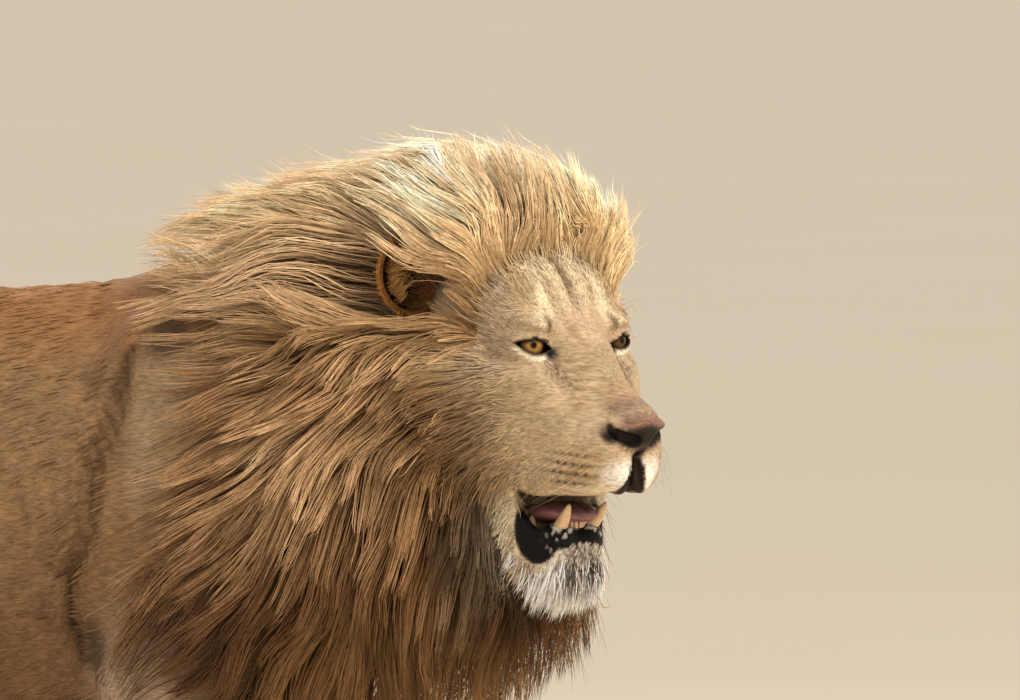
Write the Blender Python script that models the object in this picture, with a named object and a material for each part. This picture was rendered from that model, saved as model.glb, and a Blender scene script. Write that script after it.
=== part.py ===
"""A male lion standing on its four feet, life size, its head turned to its right and its mouth
a little open. +X is forward, +Y the lion's left and +Z up; the origin ends on the floor, under
the middle of its box. Each part of the body is one closed solid as large as its coat."""

import math

import bmesh
import bpy
import numpy as np
from mathutils import Matrix, Vector

# ---- Driving dimensions, in metres and degrees ----
EYE_MIDDLE = Vector((0.95, -0.17, 1.03))  # the point between the two eyes
HEAD_TURN = 37.0  # the head's turn to the right, from straight ahead
EYE_APART = 0.129  # between the two eye centres
EYE_RADIUS = 0.020
EYE_SET_BACK = 0.004  # the eye centres behind the point between them
EYE_OUTWARD = 17.0  # how far each eye looks to its own side
EAR_AT = (-0.158, 0.128, 0.066)  # in the head's frame: forward, left, up from between the eyes
EAR_RADII = (0.034, 0.043, 0.050)
FANG_LENGTH, FANG_RADIUS = 0.050, 0.0085
FORE_STEP = {"left": 0.10, "right": -0.06}  # how far each forepaw stands ahead of its plumb place
HIND_STEP = {"left": -0.06, "right": 0.13}
FORE_HIP, HIND_HIP = 0.92, 0.95  # heights that the legs swing from
FORE_SPREAD, HIND_SPREAD = 0.146, 0.128  # of the paws, from the middle plane
PAW_CUT = 0.125  # height of the cut between leg and paw
TAIL_LENGTHS = {"tail_base": (0, 2), "tail_middle": (2, 5), "tail_end": (5, 8)}
SLIVER = 2e-5  # edges shorter than this are closed up after a cut
GAP = 0.0003  # between neighbouring solids
CLEAR = 2 * GAP  # a cutter grows by this, as its corners move less than its faces
HAIR_CLEAR = 0.013  # between the mane and what it lies on
SEGMENTS = 20  # round a limb or a lump, before the surface is rebuilt

# Surface grain and triangles of each rebuilt part of the animal
GRAIN = {"body": 0.012, "mane": 0.014, "head": 0.006, "paw": 0.006, "under": 0.009}
TRIANGLES = {"body": 1600, "mane": 420, "head": 900, "paw": 205, "under": 9000}
UNDER_MANE = 500  # triangles of the inner side of the mane

COATS = {  # linear base colour, roughness
    "flank": ((0.227, 0.138, 0.058), 0.85), "pale": ((0.45, 0.33, 0.19), 0.85),
    "mane": ((0.17, 0.085, 0.034), 0.9), "crown": ((0.50, 0.32, 0.15), 0.9),
    "dark": ((0.05, 0.027, 0.014), 0.9), "ear": ((0.20, 0.08, 0.024), 0.85),
    "eye": ((0.22, 0.10, 0.03), 0.1), "tongue": ((0.45, 0.20, 0.19), 0.45),
}

for old in list(bpy.data.objects):
    bpy.data.objects.remove(old, do_unlink=True)
scene = bpy.context.scene


# ---- Frames ----
def turn(pitch=0.0, yaw=0.0, roll=0.0):
    """A rotation that leans about X, then lifts the +X end, then turns it to the left."""
    return (Matrix.Rotation(math.radians(yaw), 3, "Z") @ Matrix.Rotation(-math.radians(pitch), 3, "Y")
            @ Matrix.Rotation(math.radians(roll), 3, "X"))


BODY = Matrix.Identity(4)
HEAD = Matrix.Translation(EYE_MIDDLE) @ turn(yaw=-HEAD_TURN).to_4x4()


# ---- Shapes that a part is put together from ----
def add_lump(bm, centre, radii, pitch=0, yaw=0, roll=0, frame=BODY):
    """An ellipsoid at centre in frame."""
    place = frame @ Matrix.Translation(centre) @ turn(pitch, yaw, roll).to_4x4() @ Matrix.Diagonal((*radii, 1))
    bmesh.ops.create_uvsphere(bm, u_segments=SEGMENTS, v_segments=SEGMENTS // 2, radius=1.0, matrix=place)


def add_lumps(bm, centre, radii, pitch=0, yaw=0, roll=0, frame=BODY):
    """A lump on the left and its mirror image on the right."""
    x, y, z = centre
    for side in (1, -1):
        add_lump(bm, (x, side * y, z), radii, pitch, side * yaw, side * roll, frame)


def smooth_rows(rows, steps=4):
    """Catmull-Rom rows between the given rows, all columns alike."""
    rows = np.array(rows, float)
    ends = np.vstack((2 * rows[0] - rows[1], rows, 2 * rows[-1] - rows[-2]))
    t = np.linspace(0, len(rows) - 1, (len(rows) - 1) * steps + 1)
    i = np.minimum(t.astype(int), len(rows) - 2)
    f = (t - i)[:, None]
    a, b, c, d = ends[i], ends[i + 1], ends[i + 2], ends[i + 3]
    return 0.5 * (2 * b + (c - a) * f + (2 * a - 5 * b + 4 * c - d) * f**2 + (3 * b - a - 3 * c + d) * f**3)


def add_limb(bm, rows, frame=BODY, round_ends=True, sides=SEGMENTS, steps=4):
    """A tube through rows of (x, y, z, half width, half height), its width across frame's Y."""
    rows = smooth_rows(rows, steps)
    centres = [frame @ Vector(row[:3]) for row in rows]
    across = frame.to_3x3() @ Vector((0, 1, 0))
    rings = []
    for k, row in enumerate(rows):
        along = (centres[min(k + 1, len(rows) - 1)] - centres[max(k - 1, 0)]).normalized()
        side = (across - along * across.dot(along)).normalized()
        up = along.cross(side)
        ring = [centres[k] + side * (row[3] * math.cos(a)) + up * (row[4] * math.sin(a))
                for a in (2 * math.pi * j / sides for j in range(sides))]
        rings.append([bm.verts.new(p) for p in ring])
        if round_ends and k in (0, len(rows) - 1):
            axes = Matrix((along, side, up)).transposed().to_4x4()
            place = Matrix.Translation(centres[k]) @ axes @ Matrix.Diagonal((min(row[3:]), row[3], row[4], 1))
            bmesh.ops.create_uvsphere(bm, u_segments=sides, v_segments=sides // 2, radius=1.0, matrix=place)
    for low, high in zip(rings, rings[1:]):
        for j in range(sides):
            bm.faces.new((low[j], low[(j + 1) % sides], high[(j + 1) % sides], high[j]))
    bm.faces.new(rings[0][::-1])
    bm.faces.new(rings[-1])


def add_limbs(bm, rows, frame=BODY):
    """A limb on the left and its mirror image on the right."""
    for side in (1, -1):
        add_limb(bm, [(row[0], side * row[1], *row[2:]) for row in rows], frame)


# ---- Working on solids ----
def solid(name, bm):
    """The bmesh as an object, its faces turned outward."""
    bmesh.ops.recalc_face_normals(bm, faces=bm.faces)
    mesh = bpy.data.meshes.new(name)
    bm.to_mesh(mesh)
    bm.free()
    made = bpy.data.objects.new(name, mesh)
    scene.collection.objects.link(made)
    return made


def bake(thing):
    """Works the object's modifiers into its mesh."""
    graph = bpy.context.evaluated_depsgraph_get()
    mesh = bpy.data.meshes.new_from_object(thing.evaluated_get(graph))
    thing.modifiers.clear()
    thing.data = mesh
    return thing


def rebuild(name, bm, kind):
    """One smooth skin over all the shapes in the bmesh."""
    made = solid(name, bm)
    skin = made.modifiers.new("skin", "REMESH")
    skin.mode, skin.voxel_size = "VOXEL", GRAIN[kind]
    ease = made.modifiers.new("ease", "SMOOTH")
    ease.factor, ease.iterations = 0.5, 5
    return thin_out(bake(made), TRIANGLES[kind])


def thin_out(thing, triangles):
    """Merges faces until about this many triangles are left."""
    thing.data.calc_loop_triangles()
    fewer = thing.modifiers.new("fewer", "DECIMATE")
    fewer.ratio = triangles / len(thing.data.loop_triangles)
    return bake(thing)


def copy_of(thing, name):
    twin = bpy.data.objects.new(name, thing.data.copy())
    scene.collection.objects.link(twin)
    return twin


def grown(thing, by=CLEAR):
    """A copy whose surface stands out by this much."""
    twin = copy_of(thing, thing.name + "_grown")
    push = twin.modifiers.new("push", "DISPLACE")
    push.strength, push.mid_level = by, 0.0
    return bake(twin)


def largest(thing):
    """Keeps the object's largest separate body, and drops the crumbs and slivers of a cut."""
    bm = bmesh.new()
    bm.from_mesh(thing.data)
    bmesh.ops.remove_doubles(bm, verts=bm.verts, dist=SLIVER)
    bmesh.ops.dissolve_degenerate(bm, edges=bm.edges, dist=SLIVER)
    bm.verts.ensure_lookup_table()
    seen, bodies = set(), []
    for start in bm.verts:
        if start in seen:
            continue
        seen.add(start)
        body, front = [start], [start]
        while front:
            vertex = front.pop()
            for edge in vertex.link_edges:
                other = edge.other_vert(vertex)
                if other not in seen:
                    seen.add(other)
                    body.append(other)
                    front.append(other)
        bodies.append(body)
    bodies.sort(key=len)
    for body in bodies[:-1]:
        bmesh.ops.delete(bm, geom=body, context="VERTS")
    bm.to_mesh(thing.data)
    bm.free()
    return thing


def cut(thing, cutter, operation="DIFFERENCE"):
    """Cuts away the cutter, or keeps only what is in it, and removes the cutter."""
    step = thing.modifiers.new("cut", "BOOLEAN")
    step.operation, step.solver, step.object = operation, "EXACT", cutter
    bake(thing)
    bpy.data.objects.remove(cutter, do_unlink=True)
    return largest(thing)


def prism(outline, low, high, frame=BODY):
    """The outline, points of (x, z), drawn out along frame's Y from low to high."""
    bm = bmesh.new()
    face = bm.faces.new([bm.verts.new((x, low, z)) for x, z in outline])
    drawn = bmesh.ops.extrude_face_region(bm, geom=[face])["geom"]
    for vertex in (item for item in drawn if isinstance(item, bmesh.types.BMVert)):
        vertex.co.y = high
    bm.transform(frame)
    return solid("prism", bm)


def slab(low, high, frame=BODY):
    """A box between two corners."""
    (x0, y0, z0), (x1, y1, z1) = low, high
    return prism(((x0, z0), (x1, z0), (x1, z1), (x0, z1)), y0, y1, frame)


def part_off(thing, name, cutter):
    """Takes what is in the cutter off the object, as a solid of its own."""
    piece = copy_of(thing, name)
    wide = grown(cutter)
    cut(piece, cutter, "INTERSECT")
    cut(thing, wide)
    return piece


def stepped(step, hip):
    """Moves a point of a leg forward by its share of the step: all of it at the floor, none at the hip."""
    return lambda x, z: x + step * (1 - min(z, hip) / hip)


# ---- Trunk, shoulders and legs ----
def add_paw(bm, x, y, size):
    """Pad, heel and four toes; x is the middle of the pad."""
    add_lump(bm, (x - 0.010 * size, y, 0.045), (0.062 * size, 0.054 * size, 0.044))
    add_lump(bm, (x - 0.035 * size, y, 0.018), (0.040 * size, 0.042 * size, 0.026))
    for ahead, aside in ((0.022, -0.046), (0.044, -0.017), (0.044, 0.017), (0.022, 0.046)):
        add_lump(bm, (x + ahead * size, y + aside * size, 0.030), (0.036 * size, 0.0185 * size, 0.031),
                 pitch=-12, yaw=aside * 120)


def fore_column(side, at):
    """Rows of the foreleg from the elbow down to the paw."""
    rows = ((0.480, 0.155, 0.62, 0.066, 0.088), (0.486, 0.156, 0.53, 0.063, 0.077),
            (0.495, 0.153, 0.43, 0.055, 0.062), (0.502, 0.149, 0.32, 0.047, 0.052),
            (0.504, 0.146, 0.23, 0.046, 0.049), (0.506, 0.145, 0.18, 0.049, 0.048),
            (0.512, 0.145, 0.12, 0.051, 0.045), (0.524, 0.145, 0.07, 0.054, 0.046))
    return [(at(x, z), side * y, z, w, h) for x, y, z, w, h in rows]


def hind_column(side, at):
    """Rows from the hock down to the paw."""
    rows = ((-0.770, 0.128, 0.310, 0.035, 0.040), (-0.765, 0.128, 0.23, 0.036, 0.037),
            (-0.752, 0.128, 0.15, 0.040, 0.037), (-0.735, 0.128, 0.08, 0.046, 0.040))
    return [(at(x, z), side * y, z, w, h) for x, y, z, w, h in rows]


def add_foreleg(bm, side, at):
    add_lump(bm, (at(0.50, 0.905), side * 0.120, 0.905), (0.105, 0.058, 0.182), pitch=24, roll=-4 * side)
    add_lump(bm, (at(0.46, 0.775), side * 0.150, 0.775), (0.118, 0.062, 0.125), pitch=20)
    add_lump(bm, (at(0.60, 0.775), side * 0.125, 0.775), (0.075, 0.065, 0.100))
    upper = ((0.56, 0.135, 0.80, 0.070, 0.100), (0.51, 0.150, 0.70, 0.066, 0.090),
             (0.475, 0.155, 0.61, 0.060, 0.078))
    add_limb(bm, [(at(x, z), side * y, z, w, h) for x, y, z, w, h in upper])
    add_limb(bm, fore_column(side, at))
    add_lump(bm, (at(0.425, 0.615), side * 0.158, 0.615), (0.035, 0.030, 0.045))
    add_lump(bm, (at(0.51, 0.50), side * 0.166, 0.50), (0.045, 0.040, 0.10))
    add_lump(bm, (at(0.468, 0.185), side * 0.138, 0.185), (0.016, 0.018, 0.024))


def add_hindleg(bm, side, at):
    add_lump(bm, (at(-0.60, 0.93), side * 0.085, 0.93), (0.18, 0.080, 0.135), pitch=10)
    add_lump(bm, (at(-0.705, 0.80), side * 0.092, 0.80), (0.100, 0.072, 0.180), pitch=16)
    add_lump(bm, (at(-0.620, 0.66), side * 0.120, 0.66), (0.085, 0.058, 0.150), pitch=28)
    thigh = ((-0.60, 0.105, 0.90, 0.080, 0.150), (-0.555, 0.125, 0.77, 0.080, 0.145),
             (-0.50, 0.138, 0.66, 0.068, 0.105), (-0.475, 0.142, 0.585, 0.056, 0.078))
    shank = ((-0.480, 0.142, 0.60, 0.056, 0.080), (-0.545, 0.140, 0.50, 0.050, 0.070),
             (-0.635, 0.134, 0.415, 0.040, 0.054), (-0.715, 0.130, 0.350, 0.033, 0.042),
             (-0.765, 0.128, 0.300, 0.032, 0.037))
    tendon = ((-0.665, 0.128, 0.50, 0.020, 0.035), (-0.745, 0.128, 0.41, 0.015, 0.022),
              (-0.800, 0.128, 0.335, 0.015, 0.018))
    for rows in (thigh, shank, tendon):
        add_limb(bm, [(at(x, z), side * y, z, w, h) for x, y, z, w, h in rows])
    add_limb(bm, hind_column(side, at))
    add_lump(bm, (at(-0.415, 0.625), side * 0.140, 0.625), (0.045, 0.040, 0.055))
    add_lump(bm, (at(-0.575, 0.545), side * 0.142, 0.545), (0.070, 0.045, 0.085), pitch=-35)
    add_lump(bm, (at(-0.805, 0.325), side * 0.128, 0.325), (0.024, 0.021, 0.036), pitch=-15)


bm = bmesh.new()
add_limb(bm, ((-0.80, 0, 0.875, 0.105, 0.115), (-0.70, 0, 0.880, 0.145, 0.175), (-0.55, 0, 0.875, 0.150, 0.215),
              (-0.38, 0, 0.862, 0.158, 0.232), (-0.20, 0, 0.845, 0.178, 0.242), (-0.02, 0, 0.822, 0.198, 0.258),
              (0.16, 0, 0.808, 0.208, 0.274), (0.32, 0, 0.808, 0.205, 0.278), (0.44, 0, 0.818, 0.185, 0.264),
              (0.54, 0, 0.842, 0.160, 0.240), (0.60, 0, 0.860, 0.125, 0.200)))
add_lumps(bm, (0.10, 0.085, 0.72), (0.26, 0.125, 0.15))  # rib sides
add_lumps(bm, (-0.35, 0.07, 0.98), (0.26, 0.07, 0.10))  # loins
add_lump(bm, (0.43, 0, 1.018), (0.16, 0.06, 0.062))  # withers
add_lump(bm, (0.50, 0, 0.62), (0.17, 0.085, 0.10))  # breast bone
add_lump(bm, (-0.30, 0, 0.665), (0.25, 0.10, 0.06))  # belly
add_lumps(bm, (-0.40, 0.10, 0.68), (0.14, 0.045, 0.10), pitch=20)  # fold of the flank
for name, side in (("left", 1), ("right", -1)):
    add_foreleg(bm, side, stepped(FORE_STEP[name], FORE_HIP))
    add_hindleg(bm, side, stepped(HIND_STEP[name], HIND_HIP))
body = cut(rebuild("trunk_front", bm, "body"), slab((-2, -1, PAW_CUT + GAP), (2, 1, 2)), "INTERSECT")

coats = {}  # node: the coat it is coloured as
for name, side in (("left", 1), ("right", -1)):
    fore, hind = stepped(FORE_STEP[name], FORE_HIP), stepped(HIND_STEP[name], HIND_HIP)
    for node, column, x, spread, size in (
            ("forepaw_", fore_column(side, fore), fore(0.548, 0), FORE_SPREAD, 1.12),
            ("hindpaw_", hind_column(side, hind), hind(-0.702, 0), HIND_SPREAD, 1.03)):
        bm = bmesh.new()
        add_limb(bm, [row for row in column if row[2] < 0.25])
        add_paw(bm, x, side * spread, size)
        cut(rebuild(node + name, bm, "paw"), slab((-2, -1, 0), (2, 1, PAW_CUT)), "INTERSECT")
        coats[node + name] = "pale"

whole_body = copy_of(body, "whole_body")

# Shoulders and forelegs, thighs and shanks, as outlines seen from the side
SHOULDER = ((0.36, 0.515), (0.68, 0.515), (0.72, 0.80), (0.58, 1.04), (0.46, 1.04), (0.37, 0.80))
FORELEG = ((0.20, 0.10), (0.80, 0.10), (0.80, 0.515), (0.20, 0.515))
THIGH = ((-0.36, 0.50), (-0.34, 0.68), (-0.44, 0.90), (-0.60, 0.985), (-0.74, 0.95), (-0.90, 0.78), (-0.80, 0.50))
SHANK = ((-1.10, 0.10), (-0.30, 0.10), (-0.30, 0.50), (-1.10, 0.50))
SHOULDER_DEPTH, THIGH_DEPTH, HALF = 0.105, 0.055, 0.5  # from the middle plane, inner and outer
for name, side in (("left", 1), ("right", -1)):
    for node, outline, depth, coat in (("foreleg_", FORELEG, 0.005, "pale"), ("shank_", SHANK, 0.005, "flank"),
                                       ("shoulder_", SHOULDER, SHOULDER_DEPTH, "flank"),
                                       ("thigh_", THIGH, THIGH_DEPTH, "flank")):
        near, far = sorted((side * depth, side * HALF))
        part_off(body, node + name, prism(outline, near, far))
        coats[node + name] = coat
RUMP_FROM, LOIN_FROM = -0.42, 0.08  # where the rump and the loins begin, going back
part_off(body, "rump", slab((-2, -1, 0), (RUMP_FROM, 1, 2)))
part_off(body, "trunk_rear", slab((-2, -1, 0), (LOIN_FROM, 1, 2)))
coats.update(rump="flank", trunk_rear="flank", trunk_front="flank")

# ---- Tail ----
TAIL = ((-0.76, 0, 0.975, 0.060, 0.060), (-0.86, 0, 0.935, 0.042, 0.045), (-0.93, 0.005, 0.85, 0.030, 0.032),
        (-0.965, 0.015, 0.73, 0.024, 0.025), (-0.975, 0.03, 0.60, 0.021, 0.021),
        (-0.980, 0.045, 0.47, 0.019, 0.019), (-1.000, 0.055, 0.36, 0.018, 0.018))
TUFT = ((-0.985, 0.050, 0.41, 0.021, 0.021), (-1.012, 0.055, 0.325, 0.040, 0.042),
        (-1.045, 0.058, 0.25, 0.047, 0.050), (-1.080, 0.060, 0.18, 0.030, 0.032),
        (-1.100, 0.060, 0.14, 0.012, 0.012))
TAIL_BELOW = {"tail_base": 0.80, "tail_middle": 0.60, "tail_end": 0.41}  # lower end of each length
bm = bmesh.new()
add_limb(bm, TAIL, round_ends=False, sides=8, steps=2)
tail = solid("tail_end", bm)
cut(tail, grown(whole_body))
top = 2.0
for node in ("tail_base", "tail_middle"):
    part_off(tail, node, slab((-2, -1, TAIL_BELOW[node]), (0, 1, top)))
cut(tail, slab((-2, -1, TAIL_BELOW["tail_end"]), (0, 1, 2)), "INTERSECT")
bm = bmesh.new()
add_limb(bm, TUFT, round_ends=False, sides=8, steps=2)
cut(solid("tail_tuft", bm), slab((-2, -1, 0), (0, 1, TAIL_BELOW["tail_end"] - GAP)), "INTERSECT")
coats.update(tail_base="flank", tail_middle="flank", tail_end="flank", tail_tuft="dark")


# ---- Head, in its own frame: forward, left and up from between the eyes ----
def on_head(adder, *args, **more):
    adder(*args, frame=HEAD, **more)


bm = bmesh.new()
on_head(add_lump, bm, (-0.115, 0, 0.025), (0.105, 0.088, 0.080))  # brain case
on_head(add_limb, bm, ((-0.21, 0, -0.01, 0.10, 0.11), (-0.12, 0, -0.04, 0.095, 0.10)))
on_head(add_limb, bm, ((-0.110, 0, 0.060, 0.068, 0.058), (-0.064, 0, 0.044, 0.064, 0.058),
                       (-0.028, 0, 0.002, 0.050, 0.052), (0.002, 0, -0.030, 0.038, 0.040),
                       (0.050, 0, -0.062, 0.033, 0.036), (0.100, 0, -0.088, 0.031, 0.032)))  # bridge
on_head(add_lumps, bm, (-0.012, 0.058, 0.026), (0.029, 0.032, 0.015), pitch=-10, yaw=-28)  # brows
on_head(add_lumps, bm, (-0.050, 0.046, 0.058), (0.043, 0.039, 0.032), pitch=-40)  # forehead
on_head(add_lumps, bm, (-0.11, 0.078, 0.020), (0.078, 0.040, 0.064))  # temples
on_head(add_limbs, bm, ((0.004, 0.064, -0.040, 0.024, 0.022), (-0.035, 0.092, -0.040, 0.029, 0.027),
                        (-0.09, 0.108, -0.030, 0.031, 0.031)))  # cheek bones
on_head(add_lumps, bm, (-0.080, 0.080, -0.100), (0.073, 0.048, 0.088), pitch=12)  # chewing muscles
on_head(add_lumps, bm, (0.000, 0.056, -0.095), (0.073, 0.036, 0.058), yaw=-16)  # cheeks
on_head(add_lumps, bm, (0.062, 0.036, -0.122), (0.054, 0.034, 0.046), yaw=-18)  # whisker pads
on_head(add_lumps, bm, (0.020, 0.054, -0.146), (0.062, 0.025, 0.038), yaw=-14, pitch=3)  # upper lips
on_head(add_lump, bm, (0.104, 0, -0.095), (0.030, 0.035, 0.032), pitch=-12)  # nose
on_head(add_lumps, bm, (0.094, 0.016, -0.140), (0.019, 0.020, 0.031), yaw=-20)  # front of the lip
on_head(add_lump, bm, (-0.010, 0, -0.256), (0.034, 0.034, 0.036))  # chin
on_head(add_limbs, bm, ((0.004, 0.022, -0.248, 0.019, 0.028), (-0.03, 0.046, -0.248, 0.022, 0.034),
                        (-0.08, 0.066, -0.205, 0.028, 0.058), (-0.12, 0.070, -0.17, 0.032, 0.062)))  # jaw bones
on_head(add_limb, bm, ((-0.014, 0, -0.266, 0.032, 0.024), (-0.06, 0, -0.252, 0.052, 0.033),
                       (-0.13, 0, -0.20, 0.072, 0.062)))  # throat
head = rebuild("head", bm, "head")

MOUTH = ((-0.036, -0.190), (-0.022, -0.180), (0.030, -0.177), (0.20, -0.176), (0.20, -0.222), (0.0, -0.222),
         (-0.030, -0.206))  # the open mouth from the side: forward, up
JAW = ((0.20, -0.205), (-0.036, -0.198), (-0.090, -0.120), (-0.150, -0.150), (-0.190, -0.36), (0.20, -0.36))
MOUTH_WIDE, HEAD_WIDE = 0.10, 0.20
cut(head, prism(MOUTH, -MOUTH_WIDE, MOUTH_WIDE, HEAD))
cut(head, grown(whole_body))
skull_and_jaw = copy_of(head, "skull_and_jaw")
jaw = part_off(head, "lower_jaw", prism(JAW, -HEAD_WIDE, HEAD_WIDE, HEAD))
coats.update(head="pale", lower_jaw="pale")

for name, side in (("left", 1), ("right", -1)):
    bm = bmesh.new()
    place = HEAD @ Matrix.Translation((-EYE_SET_BACK, side * EYE_APART / 2, 0)) @ turn(yaw=side * EYE_OUTWARD).to_4x4()
    bmesh.ops.create_icosphere(bm, subdivisions=2, radius=EYE_RADIUS, matrix=place)
    eye = solid("eye_" + name, bm)
    cut(head, grown(eye))
    coats[eye.name] = "eye"

    # A fang stands in the lower jaw, leaning forward and out
    root, tip = Vector((-0.006, side * 0.021, -0.232)), Vector((0.025, side * 0.0295, -0.187))
    way = (tip - root).normalized()
    place = HEAD @ Matrix.Translation((root + tip) / 2) @ way.to_track_quat("Z", "Y").to_matrix().to_4x4()
    bm = bmesh.new()
    bmesh.ops.create_cone(bm, cap_ends=True, segments=6, radius1=FANG_RADIUS, radius2=0.0015,
                          depth=(tip - root).length + 0.01, matrix=place)
    cut(jaw, solid("fang", bm), "UNION")

bm = bmesh.new()
bmesh.ops.create_uvsphere(bm, u_segments=10, v_segments=6, radius=1.0,
                          matrix=HEAD @ Matrix.Translation((-0.022, 0, -0.213)) @ Matrix.Diagonal((0.042, 0.024, 0.014, 1)))
tongue = solid("tongue", bm)
cut(tongue, grown(jaw))
cut(tongue, grown(head))
coats[tongue.name] = "tongue"

# ---- Ears: an ellipsoid hollowed from the front ----
EAR_LOOK = {"pitch": 8, "yaw": 42, "roll": -20}  # the way the hollow faces
EAR_HOLLOW, EAR_HOLLOW_RADII = 0.026, (0.036, 0.034, 0.041)
hollows = []
for name, side in (("left", 1), ("right", -1)):
    x, y, z = EAR_AT
    look = turn(EAR_LOOK["pitch"], side * EAR_LOOK["yaw"], side * EAR_LOOK["roll"]).to_4x4()
    place = HEAD @ Matrix.Translation((x, side * y, z)) @ look
    bm = bmesh.new()
    bmesh.ops.create_uvsphere(bm, u_segments=12, v_segments=8, radius=1.0,
                              matrix=place @ Matrix.Diagonal((*EAR_RADII, 1)))
    ear = solid("ear_" + name, bm)
    around = tuple(radius + HAIR_CLEAR for radius in EAR_RADII)
    for shift, radii, keep in ((EAR_HOLLOW, EAR_HOLLOW_RADII, False), (0.055, (0.060, 0.050, 0.056), True),
                               (0, around, True)):
        bm = bmesh.new()
        bmesh.ops.create_uvsphere(bm, u_segments=12, v_segments=8, radius=1.0,
                                  matrix=place @ Matrix.Translation((shift, 0, 0)) @ Matrix.Diagonal((*radii, 1)))
        hollow = solid("hollow", bm)
        if keep:
            hollows.append(hollow)
        else:
            cut(ear, hollow)
    cut(ear, grown(skull_and_jaw))
    coats[ear.name] = "ear"

# ---- Mane, out to the tips of its hair ----
bm = bmesh.new()
add_limb(bm, ((0.465, 0.0, 0.865, 0.212, 0.215), (0.53, -0.005, 0.875, 0.250, 0.288), (0.63, -0.02, 0.892, 0.280, 0.325),
              (0.74, -0.05, 0.922, 0.290, 0.328), (0.82, -0.09, 0.948, 0.272, 0.310), (0.865, -0.12, 0.978, 0.226, 0.264)))
add_lumps(bm, (0.52, 0.128, 0.735), (0.156, 0.136, 0.220))  # hair over the shoulders
add_lump(bm, (0.735, -0.05, 0.70), (0.18, 0.20, 0.13))  # hair of the chest
add_lump(bm, (0.78, -0.05, 1.085), (0.185, 0.185, 0.182))  # nape
on_head(add_lump, bm, (-0.095, 0, 0.105), (0.12, 0.165, 0.120))  # crown
on_head(add_lump, bm, (-0.14, 0, -0.20), (0.13, 0.15, 0.18))  # throat
mane = rebuild("mane_right", bm, "mane")
FACE = ((0.02, 0.40), (-0.035, 0.16), (-0.062, 0.06), (-0.045, -0.10), (-0.030, -0.20), (-0.020, -0.32),
        (0.60, -0.32), (0.60, 0.40))  # in front of this edge the face is bare: forward, up
cut(mane, prism(FACE, -0.5, 0.5, HEAD))
for hollow in hollows:
    cut(mane, hollow)
bm = bmesh.new()
for thing in (whole_body, skull_and_jaw):
    swollen = grown(thing, HAIR_CLEAR)
    bm.from_mesh(swollen.data)
    bpy.data.objects.remove(swollen, do_unlink=True)
under = cut(rebuild("under_mane", bm, "under"), slab((0.3, -1, 0.5), (2, 1, 2)), "INTERSECT")
cut(mane, thin_out(under, UNDER_MANE))
bpy.data.objects.remove(skull_and_jaw, do_unlink=True)
bpy.data.objects.remove(whole_body, do_unlink=True)
CROWN_FROM, CHEST_TO = 1.10, 0.74  # heights between the crown, the sides and the chest of the mane
NECK = Matrix.Translation((0.55, 0, 0)) @ turn(yaw=-20).to_4x4()  # the way the neck goes
part_off(mane, "mane_crown", slab((-1, -1, CROWN_FROM), (1, 1, 2), NECK))
part_off(mane, "mane_chest", slab((-1, -1, 0), (1, 1, CHEST_TO), NECK))
part_off(mane, "mane_left", slab((-1, 0, 0), (1, 1, 2), NECK))
coats.update(mane_crown="crown", mane_chest="dark", mane_left="mane", mane_right="mane")

# ---- Materials, and the origin under the middle of the box ----
materials = {}
for coat, (colour, roughness) in COATS.items():
    material = bpy.data.materials.new(coat)
    material.use_nodes = True
    shader = material.node_tree.nodes["Principled BSDF"]
    shader.inputs["Base Color"].default_value = (*colour, 1)
    shader.inputs["Roughness"].default_value = roughness
    materials[coat] = material

nodes = [bpy.data.objects[name] for name in coats]
corners = np.array([vertex.co for node in nodes for vertex in node.data.vertices])
low, high = corners.min(0), corners.max(0)
shift = Vector((-(low[0] + high[0]) / 2, -(low[1] + high[1]) / 2, -low[2]))
lion = bpy.data.objects.new("lion", None)
scene.collection.objects.link(lion)
for node in nodes:
    points = np.array([vertex.co for vertex in node.data.vertices])
    middle = Vector((points.min(0) + points.max(0)) / 2)
    node.data.transform(Matrix.Translation(-middle))
    node.location = middle + shift
    node.parent = lion
    node.data.materials.clear()
    node.data.materials.append(materials[coats[node.name]])
    node.data.shade_smooth()
    node.data.set_sharp_from_angle(angle=math.radians(50))
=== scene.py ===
"""A male lion, life size, standing on its four feet with its head turned to its right: skin,
short coat, mane, eyes, ears, mouth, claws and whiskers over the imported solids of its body."""

import math

import bpy
import numpy as np
import openvdb
from mathutils import Matrix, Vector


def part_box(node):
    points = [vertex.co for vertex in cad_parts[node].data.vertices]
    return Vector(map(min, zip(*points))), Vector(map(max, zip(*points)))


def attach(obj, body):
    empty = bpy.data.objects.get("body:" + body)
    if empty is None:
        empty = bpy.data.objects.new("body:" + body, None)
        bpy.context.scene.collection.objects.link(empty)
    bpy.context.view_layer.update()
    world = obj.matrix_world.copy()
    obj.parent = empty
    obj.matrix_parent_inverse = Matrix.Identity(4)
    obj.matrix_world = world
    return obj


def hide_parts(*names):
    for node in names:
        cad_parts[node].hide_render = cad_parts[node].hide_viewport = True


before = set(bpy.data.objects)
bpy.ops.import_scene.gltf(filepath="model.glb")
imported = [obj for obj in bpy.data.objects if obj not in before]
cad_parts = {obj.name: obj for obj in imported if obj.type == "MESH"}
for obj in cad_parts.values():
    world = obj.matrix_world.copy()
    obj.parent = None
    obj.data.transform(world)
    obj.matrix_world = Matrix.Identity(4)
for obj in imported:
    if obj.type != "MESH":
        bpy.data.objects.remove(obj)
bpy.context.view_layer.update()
scene = bpy.context.scene

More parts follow.
